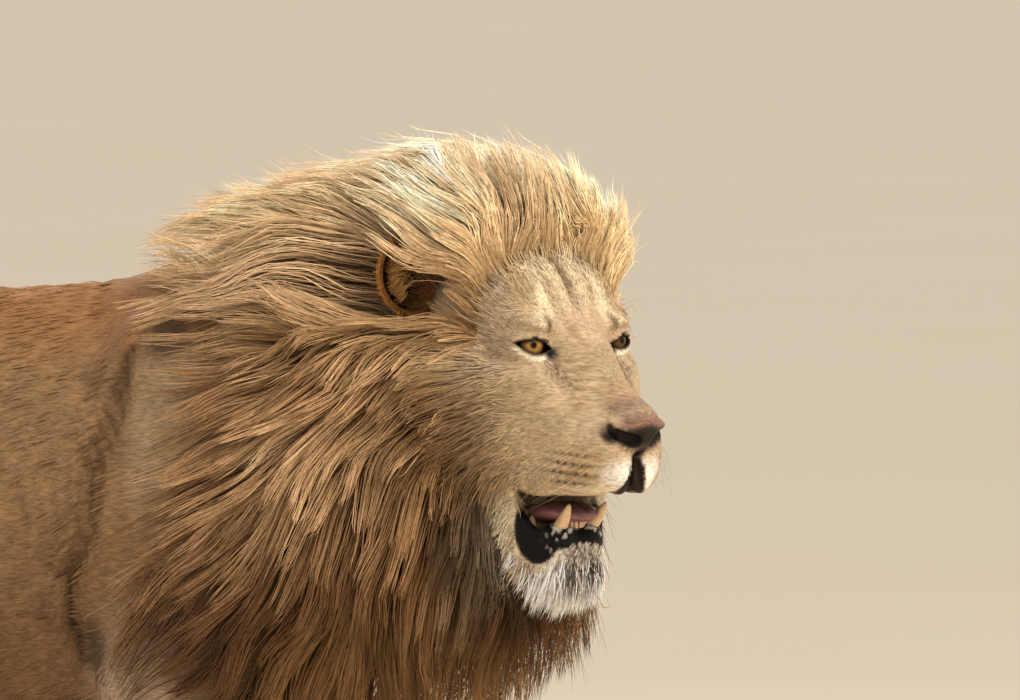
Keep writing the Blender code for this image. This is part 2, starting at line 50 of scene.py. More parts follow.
# ==== Skin ====
# Thin loose hide over muscle and bone, in one piece from the lips to the tail. It is shaped as
# the blend of the muscles and bones under it, and lies inside the solids by the coat's depth.
TURN = math.radians(37.0)  # the head's turn to its right
EYES = np.array((0.95, -0.17, 1.03))  # the point between the eyes, feet on z = 0
HEAD = np.array(((math.cos(TURN), -math.sin(TURN), 0), (math.sin(TURN), math.cos(TURN), 0), (0, 0, 1)))
EYE_AT, EYE_R, EYE_OUT = np.array((-0.014, 0.0635, 0.0)), 0.020, math.radians(17)


def head_point(p):
    """From the head's own frame (forward, left, up, from between the eyes) to the animal's."""
    return EYES + np.asarray(p, float) @ HEAD


def head_local(p):
    """From the animal's frame to the head's own."""
    return (p - EYES) @ HEAD.T


SHIFT = np.mean([np.array(c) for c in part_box("eye_right")], 0) - head_point((-.004, -.0645, 0))
FORMS = {"body": [], "head": [], "mane": []}  # (kind, data, width of the blend) of each form


def turned(pitch, yaw, roll):
    """The three axes, as rows, of a form leant by roll, lifted by pitch and turned by yaw."""
    sides = [(math.cos(math.radians(a)), math.sin(math.radians(a))) for a in (pitch, yaw, roll)]
    (cp, sp), (cy, sy), (cr, sr) = sides
    rz = np.array(((cy, -sy, 0), (sy, cy, 0), (0, 0, 1)))
    ry = np.array(((cp, 0, -sp), (0, 1, 0), (sp, 0, cp)))
    rx = np.array(((1, 0, 0), (0, cr, -sr), (0, sr, cr)))
    return (rz @ ry @ rx).T


def lump(group, centre, radii, blend=0.03, pitch=0, yaw=0, roll=0, on_head=False):
    """A muscle or bone as an ellipsoid; on_head places it by the head's frame."""
    axes, centre = turned(pitch, yaw, roll), np.array(centre, float)
    if on_head:
        axes, centre = axes @ HEAD, head_point(centre)
    FORMS[group].append(("lump", (centre, axes, np.array(radii, float)), blend))


def lumps(group, centre, radii, blend=0.03, pitch=0, yaw=0, roll=0):
    """A lump and its mirror image."""
    for s in (1, -1):
        lump(group, (centre[0], s * centre[1], centre[2]), radii, blend, pitch, s * yaw, s * roll)


def smooth_rows(rows, steps=4):
    """Rows between the given rows, all columns alike, on a cubic whose slope at each given row is
    half the step from the row before it to the row after."""
    rows = np.array(rows, float)
    ends = np.vstack((2 * rows[0] - rows[1], rows, 2 * rows[-1] - rows[-2]))
    t = np.linspace(0, len(rows) - 1, (len(rows) - 1) * steps + 1)
    i = np.minimum(t.astype(int), len(rows) - 2)
    f = (t - i)[:, None]
    a, b, c, d = ends[i], ends[i + 1], ends[i + 2], ends[i + 3]
    curve = 2 * b + (c - a) * f + (2 * a - 5 * b + 4 * c - d) * f ** 2
    return 0.5 * (curve + (3 * b - a - 3 * c + d) * f ** 3)


def limb(group, rows, blend=0.03):
    """A tapering tube through rows of (x, y, z, half width, half height)."""
    FORMS[group].append(("limb", smooth_rows(rows), blend))


def limbs(group, rows, blend=0.03):
    """A limb and its mirror image."""
    for s in (1, -1):
        limb(group, [(r[0], s * r[1], *r[2:]) for r in rows], blend)


def ellipsoid(p, centre, axes, radii):
    """Distance to an ellipsoid: |q| (|q| - 1) / |q / r|, with q the point over the radii."""
    q = (p - centre) @ axes.T / radii
    k0 = np.sqrt((q * q).sum(-1))
    return k0 * (k0 - 1) / np.maximum(np.sqrt(((q / radii) ** 2).sum(-1)), 1e-9)


def segment(p, a, b):
    """Distance to a tapering oval bar from row a to row b: an ellipse across, round at its ends."""
    along = b[:3] - a[:3]
    length = np.linalg.norm(along)
    along = along / length
    side = np.array((0, 1.0, 0)) - along[1] * along
    side = side / np.linalg.norm(side)
    up = np.cross(along, side)
    d = p - a[:3]
    x = d @ along
    k = np.clip(x / length, 0, 1)
    rs, ru = a[3] + (b[3] - a[3]) * k, a[4] + (b[4] - a[4]) * k
    re = np.minimum(rs, ru)
    q = np.stack((d @ side / rs, d @ up / ru, (x - k * length) / re), -1)
    k0 = np.sqrt((q * q).sum(-1))
    k1 = np.sqrt((q[..., 0] / rs) ** 2 + (q[..., 1] / ru) ** 2 + (q[..., 2] / re) ** 2)
    return k0 * (k0 - 1) / np.maximum(k1, 1e-9)


def smooth_min(a, b, k):
    """The lesser of a and b, rounded over where they are within k of each other."""
    h = np.maximum(k - np.abs(a - b), 0) / k
    return np.minimum(a, b) - h * h * k / 4


def smooth_max(a, b, k):
    """The greater of a and b, rounded over in the same way."""
    return -smooth_min(-a, -b, k)


def bits_of(form):
    """(lowest corner, highest corner, distance function) of each piece of a form."""
    kind, data, _ = form
    if kind == "lump":
        centre, axes, radii = data
        reach = np.sqrt(((axes.T * radii) ** 2).sum(1))
        return [(centre - reach, centre + reach, lambda p: ellipsoid(p, centre, axes, radii))]
    found = []
    for a, b in zip(data[:-1], data[1:]):
        reach = max(a[3], a[4], b[3], b[4])
        found.append((np.minimum(a[:3], b[:3]) - reach, np.maximum(a[:3], b[:3]) + reach,
                      lambda p, a=a, b=b: segment(p, a, b)))
    return found


FAR = 0.25  # the distance written where nothing is near
NEAR = 0.05  # past the width of its blend, how far round it a form is worked out


def grid_field(group, axes):
    """Distance to the blended forms of a group, on the grid that three axes span."""
    field = np.full([len(a) for a in axes], FAR, np.float32)
    for form in FORMS[group]:
        bits, margin = bits_of(form), form[2] + NEAR
        low, high = np.min([b[0] for b in bits], 0) - margin, np.max([b[1] for b in bits], 0) + margin
        lo = [int(np.searchsorted(a, v)) for a, v in zip(axes, low)]
        hi = [int(np.searchsorted(a, v)) for a, v in zip(axes, high)]
        if any(a >= b for a, b in zip(lo, hi)):
            continue
        local = np.full([b - a for a, b in zip(lo, hi)], FAR, np.float32)
        for low, high, distance in bits:
            pl = [int(np.searchsorted(a, v - margin)) for a, v in zip(axes, low)]
            ph = [int(np.searchsorted(a, v + margin)) for a, v in zip(axes, high)]
            if any(a >= b for a, b in zip(pl, ph)):
                continue
            part = np.stack(np.meshgrid(*[a[i:j] for a, i, j in zip(axes, pl, ph)], indexing="ij"), -1)
            cut = tuple(slice(i - k, j - k) for i, j, k in zip(pl, ph, lo))
            local[cut] = np.minimum(local[cut], distance(part))
        cut = tuple(slice(i, j) for i, j in zip(lo, hi))
        field[cut] = smooth_min(field[cut], local, form[2])
    return field


def point_field(group, p):
    """The same distance at loose points."""
    field = np.full(len(p), FAR)
    for form in FORMS[group]:
        margin, local = form[2] + NEAR, np.full(len(p), FAR)
        for low, high, distance in bits_of(form):
            hit = np.all((p > low - margin) & (p < high + margin), axis=1)
            if hit.any():
                local[hit] = np.minimum(local[hit], distance(p[hit]))
        hit = local < FAR
        field[hit] = smooth_min(field[hit], local[hit], form[2])
    return field


# Trunk and neck
limb("body", [(-.80, 0, .875, .105, .115), (-.70, 0, .880, .145, .175), (-.55, 0, .875, .150, .215),
              (-.38, 0, .862, .158, .232), (-.20, 0, .845, .178, .242), (-.02, 0, .822, .198, .258),
              (.16, 0, .808, .208, .274), (.32, 0, .808, .205, .278), (.44, 0, .816, .185, .262),
              (.56, 0, .845, .160, .235), (.68, 0, .885, .125, .190)])
lumps("body", (.10, .085, .72), (.26, .125, .15), .06)  # ribs
lumps("body", (-.35, .07, .98), (.26, .07, .10), .05)  # loin
lump("body", (.43, 0, 1.015), (.16, .06, .060), .06)  # withers
lump("body", (.50, 0, .62), (.17, .085, .10), .05)  # breast bone
lump("body", (-.30, 0, .665), (.25, .10, .06), .06)  # belly
lumps("body", (-.40, .10, .68), (.14, .045, .10), .06, pitch=20)  # flank fold
limb("body", [(.50, 0, .91, .150, .215), (.62, -.01, .945, .145, .190), (.73, -.035, .980, .132, .165),
              (.82, -.075, 1.010, .118, .145)], .06)


TOES = ((.022, -.046), (.044, -.017), (.044, .017), (.022, .046))  # ahead and aside, size 1


def paw(x, y, size):
    """Ball, heel and four toes of a foot."""
    lump("body", (x - .010 * size, y, .045), (.062 * size, .054 * size, .044), .02)
    lump("body", (x - .035 * size, y, .018), (.040 * size, .042 * size, .024), .015)
    for dx, dy in TOES:
        lump("body", (x + dx * size, y + dy * size, .030), (.036 * size, .0185 * size, .029), .010,
             pitch=-12, yaw=dy * 120)


STEPS = {}  # (x, y, size) of each paw
for side, fore, hind in ((1, .10, -.06), (-1, -.06, .13)):
    def fore_at(x, y, z, *rest):
        """A place on the foreleg, which swings from z = 0.92 by its step."""
        return (x + fore * (1 - min(z, .92) / .92), side * y, z, *rest)

    def hind_at(x, y, z, *rest):
        """A place on the hind leg, which swings from z = 0.95 by its step."""
        return (x + hind * (1 - min(z, .95) / .95), side * y, z, *rest)

    lump("body", fore_at(.50, .120, .905), (.105, .058, .180), .05,
         pitch=24, roll=-4 * side)  # shoulder blade
    lump("body", fore_at(.46, .150, .775), (.118, .062, .125), .04, pitch=20)  # upper arm
    lump("body", fore_at(.60, .125, .775), (.075, .065, .100), .05)  # point of the shoulder
    limb("body", [fore_at(.56, .135, .80, .070, .100), fore_at(.51, .150, .70, .066, .090),
                  fore_at(.475, .155, .61, .060, .078)], .04)
    limb("body", [fore_at(.480, .155, .62, .066, .088), fore_at(.486, .156, .53, .063, .077),
                  fore_at(.495, .153, .43, .055, .062), fore_at(.502, .149, .32, .047, .052),
                  fore_at(.504, .146, .23, .046, .049), fore_at(.506, .145, .18, .049, .048),
                  fore_at(.512, .145, .12, .051, .045), fore_at(.524, .145, .07, .054, .046)])
    lump("body", fore_at(.425, .158, .615), (.035, .030, .045))  # elbow
    lump("body", fore_at(.51, .166, .50), (.045, .040, .10))  # forearm muscle
    lump("body", fore_at(.468, .138, .185), (.016, .018, .024), .02)  # wrist pad
    STEPS["fore", side] = (*fore_at(.548, .146, 0)[:2], 1.12)
    lump("body", hind_at(-.60, .085, .93), (.18, .080, .135), .05, pitch=10)  # haunch
    lump("body", hind_at(-.705, .092, .80), (.100, .072, .180), .05, pitch=16)  # ham
    lump("body", hind_at(-.620, .120, .66), (.085, .058, .150), .06, pitch=28)
    limb("body", [hind_at(-.60, .105, .90, .080, .150), hind_at(-.555, .125, .77, .080, .145),
                  hind_at(-.50, .138, .66, .068, .105), hind_at(-.475, .142, .585, .056, .078)], .04)
    limb("body", [hind_at(-.480, .142, .60, .056, .080), hind_at(-.545, .140, .50, .050, .070),
                  hind_at(-.635, .134, .415, .040, .054), hind_at(-.715, .130, .350, .033, .042),
                  hind_at(-.765, .128, .300, .032, .037)])
    limb("body", [hind_at(-.770, .128, .310, .035, .040), hind_at(-.765, .128, .23, .036, .037),
                  hind_at(-.752, .128, .15, .040, .037), hind_at(-.735, .128, .08, .046, .040)])
    lump("body", hind_at(-.415, .140, .625), (.045, .040, .055), .04)  # knee
    lump("body", hind_at(-.575, .142, .545), (.070, .045, .085), .05, pitch=-35)  # calf
    lump("body", hind_at(-.805, .128, .325), (.024, .021, .036), .03, pitch=-15)  # heel bone
    limb("body", [hind_at(-.665, .128, .50, .020, .035), hind_at(-.745, .128, .41, .015, .022),
                  hind_at(-.800, .128, .335, .015, .018)], .04)  # heel tendon
    STEPS["hind", side] = (*hind_at(-.702, .128, 0)[:2], 1.03)
for step in STEPS.values():
    paw(*step)
TAIL = [(-.76, 0, .975, .060, .060), (-.86, 0, .935, .042, .045), (-.93, .005, .85, .030, .032),
        (-.965, .015, .73, .024, .025), (-.975, .03, .60, .021, .021), (-.980, .045, .47, .019, .019),
        (-1.000, .055, .36, .018, .018), (-1.03, .057, .28, .016, .016), (-1.055, .058, .22, .012, .012)]
limb("body", TAIL, .04)

# Skull, muzzle and jaw, in the head's own frame
lump("head", (-.115, 0, .025), (.105, .088, .080), .02)  # brain case
limb("head", [(-.21, 0, -.01, .10, .11), (-.12, 0, -.04, .095, .10)])
limb("head", [(-.110, 0, .060, .066, .056), (-.064, 0, .044, .062, .056), (-.028, 0, .002, .050, .052),
              (.012, 0, -.022, .041, .043), (.050, 0, -.060, .033, .036),
              (.100, 0, -.088, .030, .030)], .015)  # forehead and bridge
lumps("head", (-.012, .058, .026), (.028, .030, .013), .025, pitch=-10, yaw=-28)  # brow
lumps("head", (-.050, .046, .058), (.042, .038, .030), .03, pitch=-40)  # forehead halves
lumps("head", (-.11, .078, .020), (.075, .036, .060))  # temple
limbs("head", [(.004, .064, -.040, .022, .020), (-.035, .092, -.040, .026, .024),
               (-.09, .108, -.030, .028, .028)])  # cheek bone
lumps("head", (-.022, .078, 0), (.020, .014, .020), .02)  # outer eye corner
lumps("head", (-.080, .080, -.100), (.070, .044, .085), .04, pitch=12)  # chewing muscle
lumps("head", (0, .056, -.095), (.070, .032, .055), .04, yaw=-16)  # cheek before the eye
lumps("head", (.062, .036, -.122), (.052, .032, .044), .016, yaw=-18)  # whisker pad
lumps("head", (.020, .054, -.146), (.060, .022, .036), .02, yaw=-14, pitch=3)  # upper lip
lump("head", (.101, 0, -.097), (.027, .034, .028), .010, pitch=-8)  # nose
lumps("head", (.103, .031, -.095), (.018, .011, .014), .008, yaw=25, pitch=-20)  # wing of the nostril
lumps("head", (.058, .040, -.151), (.046, .023, .027), .020, yaw=-32)  # hanging edge of the lip
lumps("head", (.094, .016, -.144), (.018, .019, .033), .010, yaw=-20)  # lip either side of the groove
lump("head", (-.012, 0, -.252), (.031, .032, .030), .015)  # chin
lumps("head", (-.008, .020, -.226), (.024, .022, .018), .012)  # lower lip
limbs("head", [(-.004, .022, -.244, .018, .024), (-.03, .046, -.246, .020, .030),
               (-.08, .066, -.205, .026, .055), (-.12, .070, -.17, .03, .06)], .02)  # jaw bone
limb("head", [(-.018, 0, -.260, .028, .020), (-.06, 0, -.250, .050, .030),
              (-.13, 0, -.20, .07, .06)])  # between the jaw's halves


def eye_axes(s):
    """Rows out of the eye, towards the nose and up, for the left (1) or right (-1) eye."""
    tilt = math.radians(10)
    out = np.array((math.cos(EYE_OUT), s * math.sin(EYE_OUT), 0))
    nose, up = np.array((math.sin(EYE_OUT), -s * math.cos(EYE_OUT), 0)), np.array((0, 0, 1.0))
    return np.array((out, nose * math.cos(tilt) - up * math.sin(tilt),
                     up * math.cos(tilt) + nose * math.sin(tilt)))


def smooth_step(x, low, high):
    """0 below low, 1 above high, 3t^2 - 2t^3 between."""
    t = np.clip((x - low) / (high - low), 0, 1)
    return t * t * (3 - 2 * t)


def near(p, centre, radii, hard=2.0):
    """1 at a centre, falling past the radii: exp of minus the squared distance in radii, to hard."""
    return np.exp(-np.minimum((((p - np.array(centre)) / np.array(radii)) ** 2).sum(-1) ** hard, 60))


def mirrored(q):
    """Head points folded onto the left half."""
    return np.stack((q[..., 0], np.abs(q[..., 1]), q[..., 2]), -1)


def eye_slit(q):
    """Distance to the almond opening of the lids, negative inside, and the places from the eye.
    Each lid's edge is a parabola over half the opening's length; the left eye is shut further."""
    d = (mirrored(q) - EYE_AT) @ eye_axes(1).T
    along = np.abs(d[..., 1] - .001)
    squint = np.where(q[..., 1] > 0, .72, 1)
    upper = .0066 * squint * (1 - (along / .0225) ** 2.0)
    lower = -.0086 * squint * (1 - (along / .0238) ** 2.0)
    return np.maximum(d[..., 2] - upper, lower - d[..., 2]) * .85, d


def mouth_space(q):
    """Distance to the open mouth: the slot between the lips, and a pocket in each cheek."""
    ahead, aside, up = np.moveaxis(mirrored(q), -1, 0)
    top = -.176 - .010 * np.clip((.03 - ahead) / .06, 0, 1) + .10 * np.maximum(.030 - aside, 0)
    floor = -.207 + .010 * np.clip((-.01 - ahead) / .03, 0, 1)
    throat, cheek = -.034 - ahead, aside - .058 - .3 * np.maximum(ahead, 0)
    space = np.maximum(np.maximum(up - top, floor - up), np.maximum(throat, cheek))
    slant = np.array(((-.73, .68, 0), (.68, .73, 0), (0, 0, 1.0)))
    radii = np.array((.0235, .013, .038))
    pocket = ellipsoid(mirrored(q), np.array((-.008, .054, -.217)), slant, radii)
    return smooth_min(space, pocket, .008)


def nostril_space(q):
    """Distance to the nostrils: beads strung from a wide front hole back and up to a slit's end."""
    m, found = mirrored(q), FAR
    beads = np.array(((.121, .0165, -.109, .0090), (.117, .026, -.106, .0080),
                      (.109, .036, -.0985, .0060), (.099, .0430, -.0880, .0032)))
    for a, b in zip(beads[:-1], beads[1:]):
        t = np.clip((m - a[:3]) @ (b[:3] - a[:3]) / ((b[:3] - a[:3]) ** 2).sum(), 0, 1)
        gap = m - a[:3] - t[..., None] * (b[:3] - a[:3])
        found = np.minimum(found, np.sqrt((gap * gap).sum(-1)) - a[3] - t * (b[3] - a[3]))
    return found


def lip_curl(q):
    """Distance to the dark wedge where the front of the upper lip curls open: wider as it falls."""
    fall = np.clip(-.131 - q[..., 2], 0, .06) / .045
    beside = np.abs(q[..., 1] - .004 + .010 * fall) - .0015 - .019 * fall
    return np.maximum(np.maximum(beside, q[..., 2] + .129), .101 - q[..., 0])


def nose_folds(m):
    """A wave from -1 to 1 across the slanting wrinkles beside the bridge, 15 mm apart going up,
    and where they are."""
    wave = np.sin(2 * np.pi * (.45 * m[..., 0] - m[..., 2] + .5 * m[..., 1]) / .0150)
    return wave, near(m, (.042, .036, -.038), (.028, .016, .026))


def head_skin(field, q):
    """The head's distance with its coat's depth taken off, then lids, mouth and nostrils cut in."""
    m = mirrored(q)
    field = field + .0065 * near(m, (-.032, 0, .072), (.050, .0065, .048))  # forehead groove
    field = field - .0032 * near(m, (-.032, .0165, .072), (.05, .0090, .048))  # ridge beside it
    field = field + .0014 * near(m, (-.022, .0320, .056), (.030, .0050, .026))
    field = field - .0030 * near(m, (-.016, .046, .050), (.026, .009, .022))  # brow
    wave, there = nose_folds(m)
    field = field + .0009 * (wave * there)
    bare = np.maximum(near(m, (.118, 0, -.098), (.030, .045, .034)), near(m, EYE_AT, (.04, .034, .026)))
    field = field + .0032 * (1 - bare)  # the coat's depth
    slit, d = eye_slit(q)
    ball = np.sqrt((d * d).sum(-1))
    field = smooth_min(field, np.where(d[..., 0] > -.004, ball - (EYE_R + .0030), 1.0), .012)
    slit = np.maximum(np.maximum(slit, .002 - d[..., 0]), ball - EYE_R - .012)
    field = smooth_max(field, -slit, .0014)
    field = np.maximum(field, EYE_R + .0004 - ball)  # room for the eyeball
    field = smooth_max(field, -mouth_space(q), .006)
    field = smooth_max(field, -nostril_space(q), .003)
    field = smooth_max(field, -lip_curl(q), .004)
    groove = np.maximum(m[..., 1] - .0022, np.maximum(m[..., 2] + .122, .09 - m[..., 0]))
    return smooth_max(field, -groove, .003)


def body_skin(field, p):
    """The body's distance with its coat's depth taken off: 7 mm on the trunk, 3 mm on the feet."""
    depth = .0030 + .0040 * smooth_step(p[..., 2], .10, .62)
    return field + depth * (1 - .5 * smooth_step(-p[..., 0], .84, .90))


def surface_of(field, axes):
    """(points, triangles) of the zero surface of a grid of distances, facing outward."""
    grid = openvdb.FloatGrid(FAR)
    grid.copyFromArray(np.ascontiguousarray(field.astype(np.float32)))
    points, tris, quads = grid.convertToPolygons(0.0, 0.0)
    points = points * (axes[0][1] - axes[0][0]) + np.array([a[0] for a in axes])
    quads = np.asarray(quads)
    tris = np.vstack((np.asarray(tris).reshape(-1, 3), quads[:, [0, 1, 2]], quads[:, [0, 2, 3]]))
    return points, tris.astype(int)


def refine(points, faces, marked):
    """Cuts each marked triangle in four at its edges' middles, and its neighbours to match."""
    ends = np.sort(faces[:, [0, 1, 1, 2, 2, 0]].reshape(-1, 2), axis=1)
    edges, index = np.unique(ends, axis=0, return_inverse=True)
    index = index.reshape(-1, 3)
    cut = np.zeros(len(edges), bool)
    cut[index[marked]] = True
    middle = np.full(len(edges), -1)
    middle[cut] = len(points) + np.arange(cut.sum())
    points = np.vstack((points, points[edges[cut]].mean(1)))
    c, m = cut[index], middle[index]
    count = c.sum(1)
    f, k = faces[count == 3].T, m[count == 3].T
    corners = ((f[0], k[0], k[2]), (k[0], f[1], k[1]), (k[2], k[1], f[2]), tuple(k))
    out = [faces[count == 0]] + [np.stack(t, 1) for t in corners]
    for i in range(3):
        one = (count == 1) & c[:, i]
        f, k = np.roll(faces[one], -i, 1).T, m[one, i]
        out += [np.stack((f[0], k, f[2]), 1), np.stack((k, f[1], f[2]), 1)]
        two = (count == 2) & ~c[:, i]
        f, k = np.roll(faces[two], -i - 1, 1).T, np.roll(m[two], -i - 1, 1).T
        out += [np.stack((f[0], k[0], f[2]), 1), np.stack((k[0], k[1], f[2]), 1),
                np.stack((k[0], f[1], k[1]), 1)]
    return points, np.vstack(out)


def settle(points, distance, rounds=2, reach=.004, step=.0006):
    """Moves points onto a surface: each round takes off distance over slope, along the slope."""
    for _ in range(rounds):
        here = distance(points)
        way = np.stack([distance(points + step * axis) - here for axis in np.eye(3)], -1) / step
        steep = np.linalg.norm(way, axis=-1)
        move = np.clip(here / np.maximum(steep, .3), -reach, reach) / np.maximum(steep, 1e-9)
        points = points - way * move[:, None]
    return points


def point_normals(points, faces):
    """Unit normals at the points: the sum of the face normals round each, by area."""
    n = np.cross(points[faces[:, 1]] - points[faces[:, 0]], points[faces[:, 2]] - points[faces[:, 0]])
    columns = [np.bincount(faces.ravel(), np.repeat(n[:, i], 3), len(points)) for i in range(3)]
    total = np.stack(columns, 1)
    return total / np.maximum(np.linalg.norm(total, axis=1, keepdims=True), 1e-12)


HEAD_STEP, BODY_STEP = .0058, .0138  # between the points of each grid
axes = [np.arange(a, b, HEAD_STEP) for a, b in ((-.345, .160), (-.175, .1751), (-.305, .150))]
grid = np.stack(np.meshgrid(*axes, indexing="ij"), -1)
points, faces = surface_of(head_skin(grid_field("head", axes), grid), axes)


def head_distance(q):
    """Distance to the head's skin at loose points of its own frame."""
    return head_skin(point_field("head", q), q)


for reach in (.042, .032, .028):  # three rounds, each closer to the lids
    centre = points[faces].mean(1)
    m = mirrored(centre)
    marked = (np.linalg.norm(m - EYE_AT - (.012, 0, 0), axis=1) < reach) & (centre[:, 0] > -.03)
    if reach == .028:
        marked &= np.abs(eye_slit(centre)[0]) < .004
    if reach > .03:
        marked |= near(m, (.062, .055, -.142), (.040, .034, .028)) > .3  # whisker pads
    if reach == .042:
        marked |= (centre[:, 0] > -.045) & (np.abs(centre[:, 1]) < .085)  # the whole face
        marked |= near(m, (.108, 0, -.125), (.034, .05, .06)) > .3  # nose
        marked |= (np.abs(mouth_space(centre)) < .006) & (centre[:, 0] > -.036)
    points, faces = refine(points, faces, marked)
points = settle(points, head_distance)
head_part = head_point(points), faces

axes = [np.arange(a, b, BODY_STEP) for a, b in ((-1.13, .98), (-.30, .31), (-.033, 1.16))]
grid = np.stack(np.meshgrid(*axes, indexing="ij"), -1)
points, faces = surface_of(body_skin(grid_field("body", axes), grid), axes)
del grid
centre = points[faces].mean(1)
marked = (np.abs(centre[:, 0] - .40) < .13) & (np.abs(centre[:, 2] - .86) < .24)  # shoulder folds
marked = (centre[:, 2] < .115) | (marked & (np.abs(centre[:, 1]) > .06))
points, faces = refine(points, faces, marked)
points = settle(points, lambda p: body_skin(point_field("body", p), p), 1)


def crease_line(z):
    """How far forward the fold behind the shoulder lies at each height."""
    line = .340 + .055 * smooth_step(z, .66, 1.02) + .05 * smooth_step(z, .97, 1.08)
    return line + .006 * np.sin(z * 41)


def fold_depth(p):
    """The skin's folds: one deep crease behind the shoulder, fine wrinkles behind it."""
    x, z = p[:, 0] - crease_line(p[:, 2]), p[:, 2]
    tall = smooth_step(z, .56, .68) * (1 - smooth_step(z, .98, 1.06))
    tall = tall * smooth_step(np.abs(p[:, 1]), .06, .12)
    deep = -.0085 * np.exp(-(x / .010) ** 2) + .0040 * np.exp(-((x + .020) / .012) ** 2)
    fine = .0016 * np.sin(2 * np.pi * (x + .012 * np.sin(z * 23)) / .019)
    fine = fine * np.exp(-((x + .055) / .040) ** 2)
    return tall * (deep + fine * np.exp(-((z - .86) / .11) ** 2))


points = points + point_normals(points, faces) * fold_depth(points)[:, None]
points[:, 2] = np.maximum(points[:, 2], .0012)  # flat soles
faces = np.vstack((faces, head_part[1] + len(points)))
body_points = len(points)
points = np.vstack((points, head_part[0]))
skin_mesh = points, faces, point_normals(points, faces)


def linear(value):
    """An sRGB hex colour as linear red, green and blue."""
    c = np.array([int(value[i:i + 2], 16) / 255 for i in (1, 3, 5)])
    return np.where(c <= .04045, c / 12.92, ((c + .055) / 1.055) ** 2.4)


def ripple(p, length, seed=0):
    """Soft unevenness from -1 to 1 at a wave length: the mean of six sine waves in odd directions,
    times 1.8."""
    rng = np.random.default_rng(seed)
    ways = rng.normal(size=(6, 3))
    turns = 2 * np.pi / length / np.linalg.norm(ways, axis=1, keepdims=True)
    ways *= turns * rng.uniform(.7, 1.4, (6, 1))
    return np.sin(p @ ways.T + rng.uniform(0, 6.3, 6)).mean(-1) * 1.8


def painter(colour):
    """A function that lays a marking over colours: colour + weight (marking - colour)."""
    def lay(weight, value):
        """Lays one hex colour by the weight at each place."""
        colour[:] += np.clip(weight, 0, 1)[:, None] * (linear(value) - colour)
    return lay


